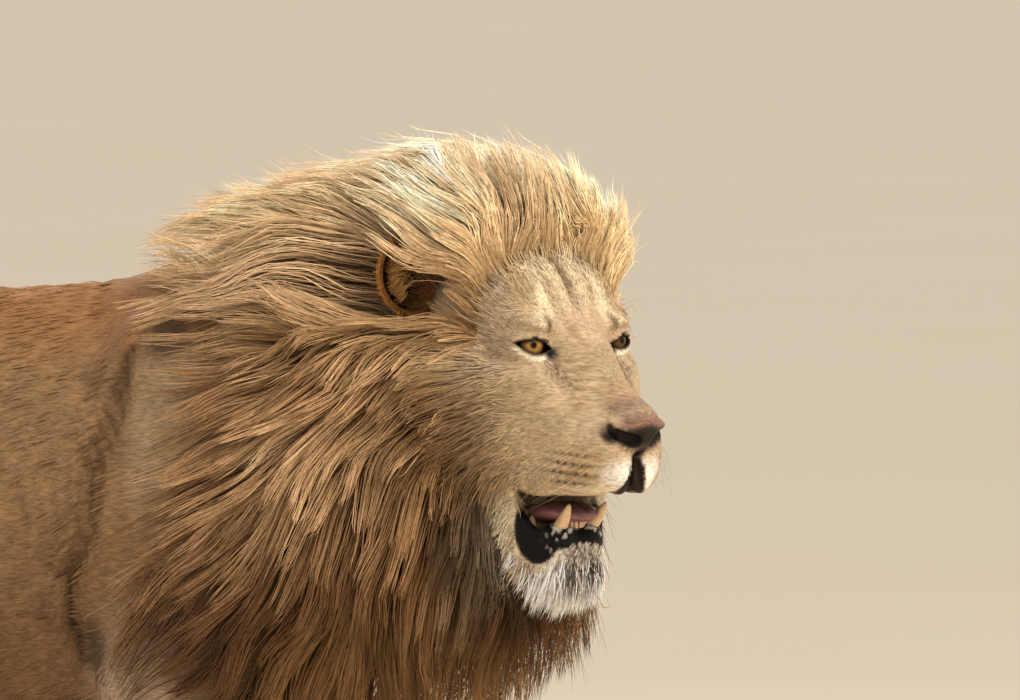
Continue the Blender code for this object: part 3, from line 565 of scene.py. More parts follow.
def coat_colour(p, normal=None):
    """Colour of the short coat and wetness at each place: a base with each marking laid over it.
    Normals, where given, add what depends on the way the skin faces."""
    q = head_local(p)
    m, side = mirrored(q), np.stack((p[:, 0], np.abs(p[:, 1]), p[:, 2]), 1)
    x, y, z = side.T
    colour = np.broadcast_to(linear("#8a6b4b"), p.shape).copy()
    lay = painter(colour)
    lay(.8 * smooth_step(z, .97, 1.07), "#97683f")  # ruddy back
    lay(.8 * (1 - smooth_step(z, .66, .84)), "#70533a")  # lower side
    belly = (1 - smooth_step(z, .52, .66)) * (y < .12) * (1 - smooth_step(y, .06, .13))
    lay(.9 * belly, "#b29a78")
    lay(.7 * near(side, (.47, .15, .80), (.11, .10, .16)), "#93724f")  # shoulder
    lay(.7 * near(side, (.455, .20, .92), (.045, .16, .13)), "#b39c7c")  # strip behind the mane
    lay(.85 * near(side, (.42, .16, .60), (.075, .10, .11)), "#a8917a")  # elbow
    lay(.75 * (1 - smooth_step(z, .30, .60)), "#a3835c")  # legs
    lay(.8 * (1 - smooth_step(z, .05, .16)), "#b39a76")  # paws
    if normal is not None:
        inward = -normal[:, 1] * np.sign(p[:, 1])
        lay(.9 * smooth_step(inward, -.1, .6) * (1 - smooth_step(z, .60, .72)), "#bda588")
        pads = smooth_step(-normal[:, 2], .45, .85) * (1 - smooth_step(z, .02, .035))
        lay(.95 * pads, "#2f2622")
    lay(.75 * near(side, (-.80, .128, .29), (.05, .05, .07)), "#6d4f33")  # heel
    lay(.5 * near(side, (-.80, .0, .80), (.08, .05, .12)), "#b8a07c")  # under the tail
    apart = smooth_step(z, .68, .84) * (1 - smooth_step(z, .94, 1.04))
    offsets = (0, .012, -.011)  # three lines run together above and below
    line = sum(np.exp(-((p[:, 0] - crease_line(z) + off * apart) / .0038) ** 2) for off in offsets)
    tall = smooth_step(y, .06, .12) * smooth_step(z, .60, .70) * (1 - smooth_step(z, .98, 1.06))
    lay(.60 * line * tall, "#3f2b1a")  # painted shade in the creases behind the shoulder
    lay(.8 * near(side, (.452, .17, 1.03), (.030, .06, .028)), "#3d3027")  # painted shade at their upper ends
    # painted shade at the creases' lower end, behind the elbow
    lay(.8 * near(side, (.365, .18, .66), (.016, .06, .045)), "#3a2a1d")
    lay(.9 * (1 - smooth_step(z, .25, .40)) * smooth_step(-p[:, 0], .90, .95), "#2c1b10")  # tail end

    # Head
    on = smooth_step(q[:, 0], -.26, -.20) * smooth_step(z, .72, .76) * (x > .60)
    lay(on, "#b89f80")
    for share, centre, radii, value in (
            (1, (-.06, 0, .085), (.075, .075, .06), "#ccb798"),  # forehead
            (.6, (-.014, .044, .048), (.036, .016, .028), "#dbc8a8"),  # brow
            (.9, (.040, 0, -.030), (.070, .030, .030), "#a89170"),  # bridge
            (.8, (.085, 0, -.055), (.030, .032, .020), "#a58668"),  # above the nose
            (.8, (-.03, .085, -.06), (.05, .04, .04), "#b79d79"),  # cheek bone
            (.9, (-.06, .10, -.13), (.05, .05, .09), "#9a7c58"),  # cheek
            (.6, (.005, .075, -.085), (.04, .03, .03), "#b9a07e"),
            (.45, (-.085, .12, -.115), (.035, .05, .07), "#654628"),  # before the ruff
            (.9, (.055, .050, -.135), (.050, .030, .026), "#bb9c74"),  # whisker pad
            (1, (.098, .018, -.148), (.022, .026, .022), "#efe8dc"),  # white lip front
            (.9, (.065, .040, -.166), (.045, .022, .010), "#d9c7a8"),  # upper lip's edge
            (1, (.004, 0, -.262), (.048, .058, .032), "#f4eadb"),  # chin
            (.9, (-.045, .066, -.215), (.026, .04, .055), "#ead8b8")):  # round the mouth's corner
        lay(on * share * near(m, centre, radii), value)
    soot = near(m, (.014, .012, -.248), (.022, .020, .012)) * (.75 + .9 * ripple(m, .005, 19))
    lay(on * .95 * np.clip(soot, 0, 1), "#463120")  # on the chin

    # Round the eyes, in the eye's own frame: out, towards the nose, up
    d = (m - EYE_AT) @ eye_axes(1).T
    lay(on * .6 * near(d, (.012, .008, .030), (.03, .010, .018)), "#e2d0b2")  # over the eye
    lay(on * .5 * near(d, (.010, .0150, .046), (.03, .0070, .014)), "#c2945a")
    lay(on * .85 * near(d, (.010, .0150, .0280), (.03, .0046, .0110)), "#573a20")  # dark brow line
    tear = near(m, (.020, .055, -.029), (.017, .012, .016))
    tear = tear + .8 * near(m, (.034, .046, -.046), (.018, .010, .014))
    lay(on * .75 * np.clip(tear * (.45 + .9 * ripple(p, .006, 43)), 0, 1), "#4a3424")
    hollow_shade = near(m, (.050, .045, -.062), (.022, .011, .030)) * (.8 + .5 * ripple(m, .012, 47))
    lay(on * .45 * hollow_shade, "#856440")  # painted shade in the hollow beside the bridge
    wave, there = nose_folds(m)
    # painted shade in the grooves of the slanting wrinkles beside the bridge
    lay(on * .50 * smooth_step(wave, .35, .95) * there, "#7d5c38")
    slit, _ = eye_slit(q)
    below = smooth_step(slit, .0022, .0040) * (1 - smooth_step(slit, .0062, .0088))
    below = below * smooth_step(-d[:, 2] - .10 * d[:, 1], .001, .005) * (d[:, 0] > 0)
    lay(on * below * smooth_step(.027 - np.abs(d[:, 1] - .002), 0, .007), "#e9dcc4")  # white below
    lay(on * .6 * near(d, (.012, .031, -.017), (.02, .007, .009)), "#4a3424")
    rim = np.exp(-(np.maximum(slit, 0) / .0026) ** 2) * (d[:, 0] > .004)
    rim = np.maximum(rim, near(d, (.012, .0235, -.0058), (.02, .0098, .0085)))  # inner corner
    lay(on * rim, "#150d09")  # lid edge

    # Forehead and bridge
    for share, centre, radii, value in (
            (.7, (-.032, .0165, .075), (.055, .0090, .050), "#dcc69e"),  # ridge beside the groove
            (.80, (-.012, .044, .050), (.024, .012, .026), "#dfcca9"),  # brow
            (.90, (-.034, 0, .078), (.048, .0055, .044), "#7e5a33"),  # painted shade in the forehead groove
            (.45, (-.022, .0320, .056), (.030, .0060, .028), "#93703f"),  # painted shade in the groove inside the brow
            (.5, (-.02, .062, .085), (.06, .012, .05), "#a8854f"),
            (.55, (.0, .020, .0), (.045, .005, .03), "#937042")):  # beside the bridge's top
        lay(on * share * near(m, centre, radii), value)

    # Lip pads, nose and mouth
    row, pitch = m[:, 2] + .135 + .10 * (m[:, 0] - .06), .0115  # rows of whisker spots
    rows = np.exp(-((np.mod(row + .006, pitch) - .00575) / .0027) ** 2)
    rows = rows * near(m, (.058, .055, -.142), (.040, .034, .026))
    spots = np.sin(2 * np.pi * m[:, 0] / .0095 + 9 * np.floor((row + .006) / pitch))
    spots = .60 + .40 * smooth_step(spots, -.2, .7)
    lay(on * np.clip(1.15 * rows * spots, 0, 1), "#37210f")
    lay(on * .85 * near(m, (.098, 0, -.070), (.028, .032, .012)), "#7f6252")  # thin hair on the nose
    leather = near(m, (.120, 0, -.099), (.020, .040, .024), 3) * smooth_step(m[:, 0], .092, .104)
    leather = np.maximum(leather, near(m, (.110, 0, -.122), (.022, .010, .016), 3))
    leather = np.maximum(leather, near(m, (.103, .036, -.101), (.017, .012, .011), 3))
    soot = near(m, (.012, .049, -.036), (.022, .020, .012)) * (.7 + .9 * ripple(m, .004, 27))
    lay(on * .7 * soot, "#3f2c1e")  # under the eye's inner corner
    lay(on * leather, "#130b08")
    lay(on * .9 * leather * smooth_step(m[:, 2] + .25 * m[:, 1], -.092, -.084), "#936f61")
    # painted shade inside the nostrils
    lay(on * smooth_step(-nostril_space(q), -.0025, .0005), "#0b0605")
    fall = np.clip(-.131 - q[:, 2], 0, .06) / .045
    curl = .0040 + .020 * fall - np.abs(q[:, 1] - .004 + .010 * fall)
    curl = smooth_step(curl, -.0015, .0015) * smooth_step(-q[:, 2], .128, .132)
    curl = curl * smooth_step(q[:, 0], .066, .076)
    notch = near(m, (.104, 0, -.156), (.020, .0050, .034), 3)
    lay(on * np.minimum(notch + curl, 1), "#2b1a12")  # painted shade in the open wedge under the nose and the lip's groove below it
    if normal is not None:
        turned_in = -(normal @ HEAD.T)[:, 1] * np.sign(q[:, 1])
        within = smooth_step(-m[:, 2], .134, .142) * (1 - smooth_step(-m[:, 2], .195, .200))
        within = within * smooth_step(m[:, 0], -.02, .0)
        lay(on * within * smooth_step(turned_in, .10, .45), "#2b1a12")  # painted shade on the inner face of the lips
    gape = mouth_space(q)
    inside = smooth_step(-gape, -.0035, -.0005) * (m[:, 0] < .11)
    lined = smooth_step(.048 + .3 * np.maximum(m[:, 0], 0) - m[:, 1], 0, .006)
    lined = lined * (m[:, 0] < .05) * (m[:, 2] < -.165) * (m[:, 2] > -.200)
    inside = np.maximum(inside, smooth_step(-gape, -.010, -.005) * lined)
    lower = smooth_step(-m[:, 2], .190, .200)
    lip = smooth_step(.0055 - gape, -.0010, .0020) * lower * (m[:, 0] > -.045)
    low_edge = -.238 - .50 * np.maximum(m[:, 1] - .020, 0) + .004 * ripple(m, .012, 23)
    front = smooth_step(m[:, 2] - low_edge, -.0010, .0015) * (1 - smooth_step(m[:, 1], .044, .052))
    lip = np.maximum(lip, front * smooth_step(m[:, 0], -.030, -.015) * lower)
    inside = np.maximum(inside, lip)
    lay(on * inside, "#0c0807")  # black lips, and painted shade on the mouth's lining
    drool = ripple(m, .009, 41) + smooth_step(m[:, 2], -.228, -.213)
    drool = smooth_step(drool, .75, 1.0) * lip * smooth_step(m[:, 0], -.016, .0)
    lay(on * .9 * drool * (1 - smooth_step(m[:, 1], .036, .046)), "#e4ddd2")  # dried spit
    wet = on * np.maximum(.45 * np.maximum(inside, leather), np.maximum(rim, np.clip(curl, 0, 1)))
    colour *= (1 + .07 * ripple(p, .05, 1) + .05 * ripple(p, .014, 2))[:, None]
    return np.clip(colour, 0, 1), np.clip(wet, 0, 1)


def put(name, points, faces, attributes=(), uv=None):
    """A smooth mesh object of triangles or quads, with its point attributes and the coat's map."""
    mesh = bpy.data.meshes.new(name)
    k = faces.shape[1]
    mesh.vertices.add(len(points))
    mesh.vertices.foreach_set("co", (points + SHIFT).astype(np.float32).ravel())
    mesh.loops.add(faces.size)
    mesh.loops.foreach_set("vertex_index", faces.astype(np.int32).ravel())
    mesh.polygons.add(len(faces))
    mesh.polygons.foreach_set("loop_start", np.arange(0, faces.size, k, dtype=np.int32))
    mesh.update(calc_edges=True)
    mesh.polygons.foreach_set("use_smooth", np.ones(len(faces), bool))
    for label, values in attributes:
        if values.ndim == 2:
            layer = mesh.attributes.new(label, "FLOAT_COLOR", "POINT")
            opaque = np.c_[values, np.ones(len(values))]
            layer.data.foreach_set("color", opaque.astype(np.float32).ravel())
        else:
            layer = mesh.attributes.new(label, "FLOAT", "POINT")
            layer.data.foreach_set("value", values.astype(np.float32))
    if uv is not None:
        layer = mesh.uv_layers.new(name="OFBake")
        layer.data.foreach_set("uv", uv[faces.ravel()].astype(np.float32).ravel())
    mesh.validate()
    made = bpy.data.objects.new(name, mesh)
    scene.collection.objects.link(made)
    return made


def add_node(tree, kind, links=(), **settings):
    """Adds a node: settings named as its own, _0 and up for its inputs, and links into its inputs."""
    node = tree.nodes.new(kind)
    for key, value in settings.items():
        if key[0] == "_":
            node.inputs[int(key[1:])].default_value = value
        else:
            setattr(node, key, value)
    for socket, source in links:
        tree.links.new(source, node.inputs[socket])
    return node


def new_material(name):
    """A material and its tree, with only the surface shader and the output."""
    material = bpy.data.materials.new(name)
    material.use_nodes = True
    return material, material.node_tree, material.node_tree.nodes["Principled BSDF"]


# Hide under short hair: matt, faintly streaked along the coat's lie; wet and dark where bare.
hide, tree, shader = new_material("Lion_hide_short_hair")
place = add_node(tree, "ShaderNodeTexCoord").outputs["Object"]
paint = add_node(tree, "ShaderNodeAttribute", attribute_name="coat")
wet = add_node(tree, "ShaderNodeAttribute", attribute_name="wet")
stretch = add_node(tree, "ShaderNodeMapping", [("Vector", place)])
stretch.inputs["Rotation"].default_value = (0, math.radians(-22), 0)
stretch.inputs["Scale"].default_value = (.22, 1, 1)  # hairs lie back and a little down
hairs = add_node(tree, "ShaderNodeTexNoise", [("Vector", stretch.outputs[0])])
hairs.inputs["Scale"].default_value = 380  # 2.6 mm, drawn coarser than hair
hairs.inputs["Detail"].default_value = 3
patches = add_node(tree, "ShaderNodeTexNoise", [("Vector", place)])
patches.inputs["Scale"].default_value = 30  # 33 mm patches
patches.inputs["Detail"].default_value = 4
shade = add_node(tree, "ShaderNodeMapRange", [("Value", hairs.outputs[0])],
                 _1=.3, _2=.7, _3=.66, _4=1.3)
broad = add_node(tree, "ShaderNodeMapRange", [("Value", patches.outputs[0])],
                 _1=.3, _2=.7, _3=.9, _4=1.1)
both = add_node(tree, "ShaderNodeMath", [(0, shade.outputs[0]), (1, broad.outputs[0])],
                operation="MULTIPLY")
tone = add_node(tree, "ShaderNodeVectorMath",
                [(0, paint.outputs["Color"]), ("Scale", both.outputs[0])], operation="SCALE")
tree.links.new(tone.outputs[0], shader.inputs["Base Color"])
rough = add_node(tree, "ShaderNodeMapRange", [("Value", wet.outputs["Fac"])], _3=.72, _4=.32)
tree.links.new(rough.outputs[0], shader.inputs["Roughness"])
pebble = add_node(tree, "ShaderNodeTexVoronoi", [("Vector", place)])
pebble.inputs["Scale"].default_value = 900  # 1.1 mm grain of nose leather
relief = add_node(tree, "ShaderNodeMix", [("Factor", wet.outputs["Fac"]), (2, hairs.outputs[0]),
                                          (3, pebble.outputs["Distance"])])
bump = add_node(tree, "ShaderNodeBump", [("Height", relief.outputs[0])])
bump.inputs["Strength"].default_value, bump.inputs["Distance"].default_value = .8, .0012
tree.links.new(bump.outputs[0], shader.inputs["Normal"])
shader.inputs["Specular IOR Level"].default_value = .2

colours, wetness = coat_colour(skin_mesh[0], skin_mesh[2])
skin = put("skin", skin_mesh[0], skin_mesh[1], [("coat", colours), ("wet", wetness)])
skin.data.materials.append(hide)
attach(skin, "root")
flesh = [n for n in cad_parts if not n.startswith(("mane", "ear", "eye", "tongue", "tail_tuft"))]
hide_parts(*flesh)

# ==== Mane ====
# Long coarse guard hair in locks, rooted in the neck, cheeks, throat and chest: it stands up
# round the face, is blown back over the neck, and hangs on the chest. Each lock is a tapered rod.
limb("mane", [(.46, 0, .872, .205, .232), (.53, -.005, .888, .245, .302),
              (.63, -.02, .902, .275, .330), (.74, -.05, .925, .285, .322),
              (.82, -.09, .945, .265, .300), (.86, -.12, .975, .220, .255)], .05)
lumps("mane", (.500, .125, .705), (.165, .130, .235), .06)  # over the shoulders
lump("mane", (.725, -.05, .69), (.18, .20, .15), .06)  # chest
lump("mane", (.78, -.05, 1.08), (.18, .18, .175), .06)  # nape
lump("mane", (-.095, 0, .100), (.12, .160, .112), .06, on_head=True)  # crown
lump("mane", (-.14, 0, -.20), (.13, .15, .18), .06, on_head=True)  # throat
EAR_AT = np.array((-.147, .133, .076))  # in the head's frame


def face_edge(q):
    """How far forward in the head's frame the mane reaches at each height; further out it lies back."""
    heights = (-.42, -.32, -.20, -.10, .06, .16, .40)
    edge = np.interp(q[..., 2], heights, (.02, -.034, -.046, -.048, -.056, -.040, -.03))
    low = 1 - smooth_step(q[..., 2], -.16, -.02)
    start = np.where(q[..., 1] > 0, .118 - .060 * low, .118)  # the hair on its left is blown back
    lean = .95 - .50 * smooth_step(q[..., 2], .02, .13)
    aside = np.maximum(np.abs(q[..., 1]) - start, 0)
    return edge - lean * aside - .35 * np.maximum(q[..., 2] - .15, 0)


MANE_STEP = .0125  # between the points of the mane's grids
mane_axes = [np.arange(a, b, MANE_STEP) for a, b in ((.20, 1.12), (-.50, .42), (.44, 1.38))]
local = head_local(np.stack(np.meshgrid(*mane_axes, indexing="ij"), -1))
mane_field = smooth_max(grid_field("mane", mane_axes), local[..., 0] - face_edge(local), .03)
under_field = point_field("head", local.reshape(-1, 3)).reshape(local.shape[:3])
under_field = np.minimum(grid_field("body", mane_axes), under_field)
del local


def sample(field, p):
    """Values of a grid at loose points: the mean of the eight corners round each, by nearness."""
    t = (p - np.array([a[0] for a in mane_axes])) / MANE_STEP
    t = np.clip(t, 0, np.array(field.shape[:3]) - 1.001)
    i = t.astype(int)
    f = t - i
    total = 0
    for a in (0, 1):
        for b in (0, 1):
            for c in (0, 1):
                w = np.abs(1 - a - f[..., 0]) * np.abs(1 - b - f[..., 1]) * np.abs(1 - c - f[..., 2])
                v = field[i[..., 0] + a, i[..., 1] + b, i[..., 2] + c]
                total = total + (w[..., None] * v if v.ndim > w.ndim else w * v)
    return total


mane_out = np.stack(np.gradient(mane_field, MANE_STEP), -1)
mane_out /= np.maximum(np.linalg.norm(mane_out, axis=-1, keepdims=True), 1e-6)


def unit(v):
    """Vectors over their own lengths."""
    return v / np.maximum(np.linalg.norm(v, axis=-1, keepdims=True), 1e-9)


def lie_of_mane(p):
    """The way the mane's hair runs, from root to tip: shares of back, down and out from the middle
    of the head and neck, which go by the height on them and the distance behind the face, and two
    sizes of wave."""
    q = head_local(p)
    behind = smooth_step(-q[..., 0], .05, .34)[..., None]
    back = unit(-HEAD[0] * (1 - behind) + np.array((-1.0, .05, 0)) * behind)
    at = (.45, .65, .82, .95)  # places along the neck, and its middle there
    neck = np.stack((p[..., 0], np.interp(p[..., 0], at, (0, -.03, -.09, -.17)),
                     np.interp(p[..., 0], at, (.86, .91, .95, .97))), -1)
    skull = EYES + (q[..., :1] * HEAD[0]) + np.array((0, 0, -.06))
    radial = unit((p - (skull * (1 - behind) + neck * behind)))
    high = radial[..., 2:]
    top, low = smooth_step(high, .15, .85), smooth_step(-high, .05, .80)
    side = 1 - np.maximum(top, low)
    down = side * (1.05 - .10 * behind) + low * 1.30 - top * (.30 - .50 * behind)
    aft = side * (.50 + .42 * behind) + top * 1.0 + low * (.22 + .20 * behind)
    rear = 1 - smooth_step(p[..., :1], .44, .68)
    down, aft = down * (1 - .30 * rear * (1 - top)), aft + .65 * rear * (1 - top)
    spread = (1 - smooth_step(face_edge(q) - q[..., 0], .02, .13))[..., None]
    way = back * aft - np.array((0, 0, 1.0)) * down + radial * (.10 + spread * (.75 - .35 * low))
    wave = np.stack([ripple(p, .17, seed) for seed in (11, 12, 13)], -1) * .40
    small = [ripple(p, length, seed) for length, seed in ((.07, 14), (.07, 15), (.06, 16))]
    return unit(way + (wave + np.stack(small, -1) * .34))


def scattered(points, faces, count, weight, rng):
    """Random places on a surface, by area times weight: (places, normals)."""
    a, b, c = points[faces[:, 0]], points[faces[:, 1]], points[faces[:, 2]]
    n = np.cross(b - a, c - a)
    area = np.linalg.norm(n, axis=1)
    chance = np.cumsum(area * weight((a + b + c) / 3, n / np.maximum(area, 1e-12)[:, None]))
    pick = np.searchsorted(chance, rng.uniform(0, chance[-1], count))
    u, v = rng.uniform(size=(2, count, 1))
    u, v = np.where(u + v > 1, 1 - u, u), np.where(u + v > 1, 1 - v, v)
    places = a[pick] + u * (b[pick] - a[pick]) + v * (c[pick] - a[pick])
    return places, n[pick] / np.maximum(area[pick], 1e-12)[:, None]


def coat_map(p):
    """The coat's map: the skin unrolled, as length along a part and angle round it, each in its own
    strip."""
    q = head_local(p)
    u = np.interp(p[:, 0], (-1.15, .80), (.02, .60))
    v = .5 + .30 * np.arctan2(p[:, 1], p[:, 2] - .80 + 1e-6) / math.pi
    leg = (p[:, 2] < .56) & (p[:, 0] > -.90)
    fore = p[:, 0] > 0
    leg_u = np.interp(p[:, 2], (0, .56), (.02, .28)) + np.where(fore, .30, 0)
    turn = np.arctan2(np.abs(p[:, 1]) - .14, p[:, 0] - np.where(fore, .52, -.70))
    leg_v = np.where(p[:, 1] > 0, .84, .02) + .14 * (.5 + turn / (2 * math.pi))
    u, v = np.where(leg, leg_u, u), np.where(leg, leg_v, v)
    skull = (q[:, 0] > -.30) & (p[:, 0] > .5)
    skull_u = np.interp(np.sqrt(np.maximum(.16 - q[:, 0], 0)), (0, .7), (.62, .98))
    skull_v = .5 + .48 * np.arctan2(q[:, 1], q[:, 2] + .08) / math.pi
    return np.stack((np.where(skull, skull_u, u), np.where(skull, skull_v, v)), 1)


def tufts(name, paths, normals, width, colours, flat=.45, taper=None, soft=.4):
    """Closed tapered tufts in one mesh: a flat three-sided ring at each place of a path from root
    to tip, its ridge to the normal, as wide as width by a share that falls to a point. Its shading
    normals lean to the coat's by soft, as light passes through a coat."""
    n, k, _ = paths.shape
    t = np.linspace(0, 1, k)
    share = (.55 + .45 * np.sin(np.pi * np.minimum(t * 1.25 + .1, 1))) if taper is None else taper
    outward = normals[:, None] if normals.ndim == 2 else normals
    along = unit(np.gradient(paths, axis=1))
    side = unit(np.cross(along, outward))
    ridge = np.cross(side, along)
    half = (width[:, None] * share / 2)[..., None]
    rings = np.stack((paths + side * half, paths + ridge * half * 2 * flat, paths - side * half), 2)

    def ringed(values, tips):
        """Values at the three corners of every ring but the last, then those at the tips."""
        return np.concatenate((values.reshape(n, -1, 3), tips), 1).reshape(-1, 3)

    corner = np.arange(3 * (k - 2)).reshape(-1, 3)
    beside = np.roll(corner, -1, 1)
    walls = (np.stack((corner, beside, beside + 3), -1), np.stack((corner, beside + 3, corner + 3), -1))
    last, tip = 3 * (k - 2), 3 * (k - 1)
    caps = ((last, last + 1, tip), (last + 1, last + 2, tip), (last + 2, last, tip), (0, 2, 1))
    one = np.vstack((np.concatenate(walls, 0).reshape(-1, 3), caps))[:, ::-1]
    faces = (one[None] + (np.arange(n) * (tip + 1))[:, None, None]).reshape(-1, 3)
    place = np.concatenate((np.repeat(t[:-1], 3), (1,)))
    across = np.concatenate((np.tile((-.5, 0, .5), k - 1), (0,)))
    uv = coat_map(paths[:, 0])[:, None] + .003 * np.stack((place - .5, across), -1)
    paint = ringed(np.repeat(colours[:, :-1], 3, axis=1), colours[:, -1:])
    made = put(name, ringed(rings[:, :-1], paths[:, -1:]), faces, [("coat", paint)], uv.reshape(-1, 2))
    facing = np.stack((side * .85 + ridge * .5, ridge, -side * .85 + ridge * .5), 2)
    facing = ringed(facing[:, :-1], ridge[:, -1:])
    outward = np.broadcast_to(outward, paths.shape)
    coat_way = ringed(np.repeat(outward[:, :-1], 3, axis=1), outward[:, -1:])
    made.data.normals_split_custom_set_from_vertices(unit(facing * (1 - soft) + coat_way * soft))
    return made


def painted(tree, shader, scale, low, high):
    """Sets the base colour: the painted one times noise of a scale to the metre, from low to high."""
    paint = add_node(tree, "ShaderNodeAttribute", attribute_name="coat")
    place = add_node(tree, "ShaderNodeTexCoord").outputs["Object"]
    noise = add_node(tree, "ShaderNodeTexNoise", [("Vector", place)])
    noise.inputs["Scale"].default_value, noise.inputs["Detail"].default_value = scale, 2
    shade = add_node(tree, "ShaderNodeMapRange", [("Value", noise.outputs[0])],
                     _1=.3, _2=.7, _3=low, _4=high)
    tone = add_node(tree, "ShaderNodeVectorMath",
                    [(0, paint.outputs["Color"]), ("Scale", shade.outputs[0])], operation="SCALE")
    tree.links.new(tone.outputs[0], shader.inputs["Base Color"])


# Guard hair: a keratin rod with a soft gloss, darker where it is shaded near the skin.
hair, tree, shader = new_material("Lion_guard_hair")
painted(tree, shader, 160, .82, 1.18)  # 6 mm runs of tone along a lock
shader.inputs["Roughness"].default_value = .60
shader.inputs["Specular IOR Level"].default_value = .12

rng = np.random.default_rng(7)
shell = surface_of(mane_field, mane_axes)


def shows(p, n):
    """Where the mane's outer surface stands clear of the skin; a little thicker on top."""
    clear = smooth_step(sample(under_field, p), -.01, .012)
    return clear * (1 + .5 * smooth_step(p[:, 2], 1.0, 1.2))


MANE_TUFTS, TRACED, RINGS = 28500, 9, 7  # tufts, places traced back from each tip, rings of each
LOCKS, STRANDS = 1500, 9000
seed, _ = scattered(*shell, MANE_TUFTS, shows, rng)
depth = np.minimum(rng.exponential(.016, MANE_TUFTS), .09) - .004
seed = seed - sample(mane_out, seed) * depth[:, None]
length = rng.uniform(.16, .32, MANE_TUFTS)
q = head_local(seed)
length *= 1 - .35 * (1 - smooth_step(face_edge(q) - q[:, 0], .0, .16))
path = [seed]
p = seed
for i in range(TRACED - 1):
    rise = .16 + .50 * (i / (TRACED - 1)) ** 1.5
    p = p - unit(lie_of_mane(p) + sample(mane_out, p) * rise) * (length / (TRACED - 1))[:, None]
    out = sample(mane_field, p) + .004
    p = p - sample(mane_out, p) * np.maximum(out, 0)[:, None]
    path.append(p)
path = np.stack(path, 1)[:, ::-1]  # root to tip
inside = sample(under_field, path) < -.003
last = np.where(inside.any(1), TRACED - 1 - np.argmax(inside[:, ::-1], 1), 0)  # last under the skin


def cut_to(path, first, rings):
    """Each path from its own first place to its tip, at an even number of places."""
    t = first[:, None] + (path.shape[1] - 1 - first)[:, None] * np.linspace(0, 1, rings)
    i = np.minimum(t.astype(int), path.shape[1] - 2)
    f = (t - i)[..., None]
    row = np.arange(len(path))[:, None]
    return path[row, i] * (1 - f) + path[row, i + 1] * f


keep = last < TRACED - 3
path, last = path[keep], last[keep]
tip_way = lie_of_mane(path[:, -1])
leaving = np.maximum((tip_way * sample(mane_out, path[:, -1])).sum(1), 0)
beyond = path[:, -1] + tip_way * (rng.uniform(.0, .045, len(path)) * leaving)[:, None]
path = cut_to(np.concatenate((path, beyond[:, None]), 1), last, RINGS)


def nearest(p, guides):
    """Index of the nearest guide to each point, a slab of points at a time."""
    squares = (guides * guides).sum(1)
    found = [np.argmin(squares - 2 * block @ guides.T, 1) for block in np.array_split(p, 40)]
    return np.concatenate(found)


def gathered(path, count, pull):
    """Draws paths together towards their tips, round the nearest of the first few paths."""
    lead = nearest(path[:, -2], path[:count, -2])
    t = np.linspace(0, 1, path.shape[1])[None, :, None]
    loose = rng.uniform(.55, 1, (len(path), 1, 1))
    return path + (path[lead] - path) * pull * loose * t ** 1.3, lead


def clear_of_ear(path, offset, radii):
    """Which paths stay out of an ellipsoid round the ear's cup, their roots apart."""
    local = mirrored(head_local(path))
    room = (((local - EAR_AT - offset) / radii) ** 2).sum(-1)
    return ~(room[:, 1:] < 1).any(1)


path, lock = gathered(path, LOCKS, .62)
path, strand = gathered(path, STRANDS, .45)
t = np.linspace(0, 1, path.shape[1])
curl_way = unit(rng.normal(size=(len(path), 3)))[:, None]
phase = t[None] * rng.uniform(3, 8, (len(path), 1)) + rng.uniform(0, 6.3, (len(path), 1))
path = path + curl_way * (np.sin(phase) * t)[..., None] * rng.uniform(.001, .006, (len(path), 1, 1))
stray = rng.uniform(size=len(path)) < .04
path = path + (stray[:, None] * t ** 2 * .018)[..., None] * sample(mane_out, path[:, -1])[:, None]
tip = path[:, -1]
rear_edge = .372 + .070 * smooth_step(tip[:, 2], .78, .93) - .048 * smooth_step(tip[:, 2], 1.0, 1.06)
rear_edge = rear_edge + rng.normal(size=len(tip)) * .012
keep = clear_of_ear(path, (.016, .012, -.004), (.050, .050, .050)) & (tip[:, 0] > rear_edge)
path, lock, strand = path[keep], lock[keep], strand[keep]


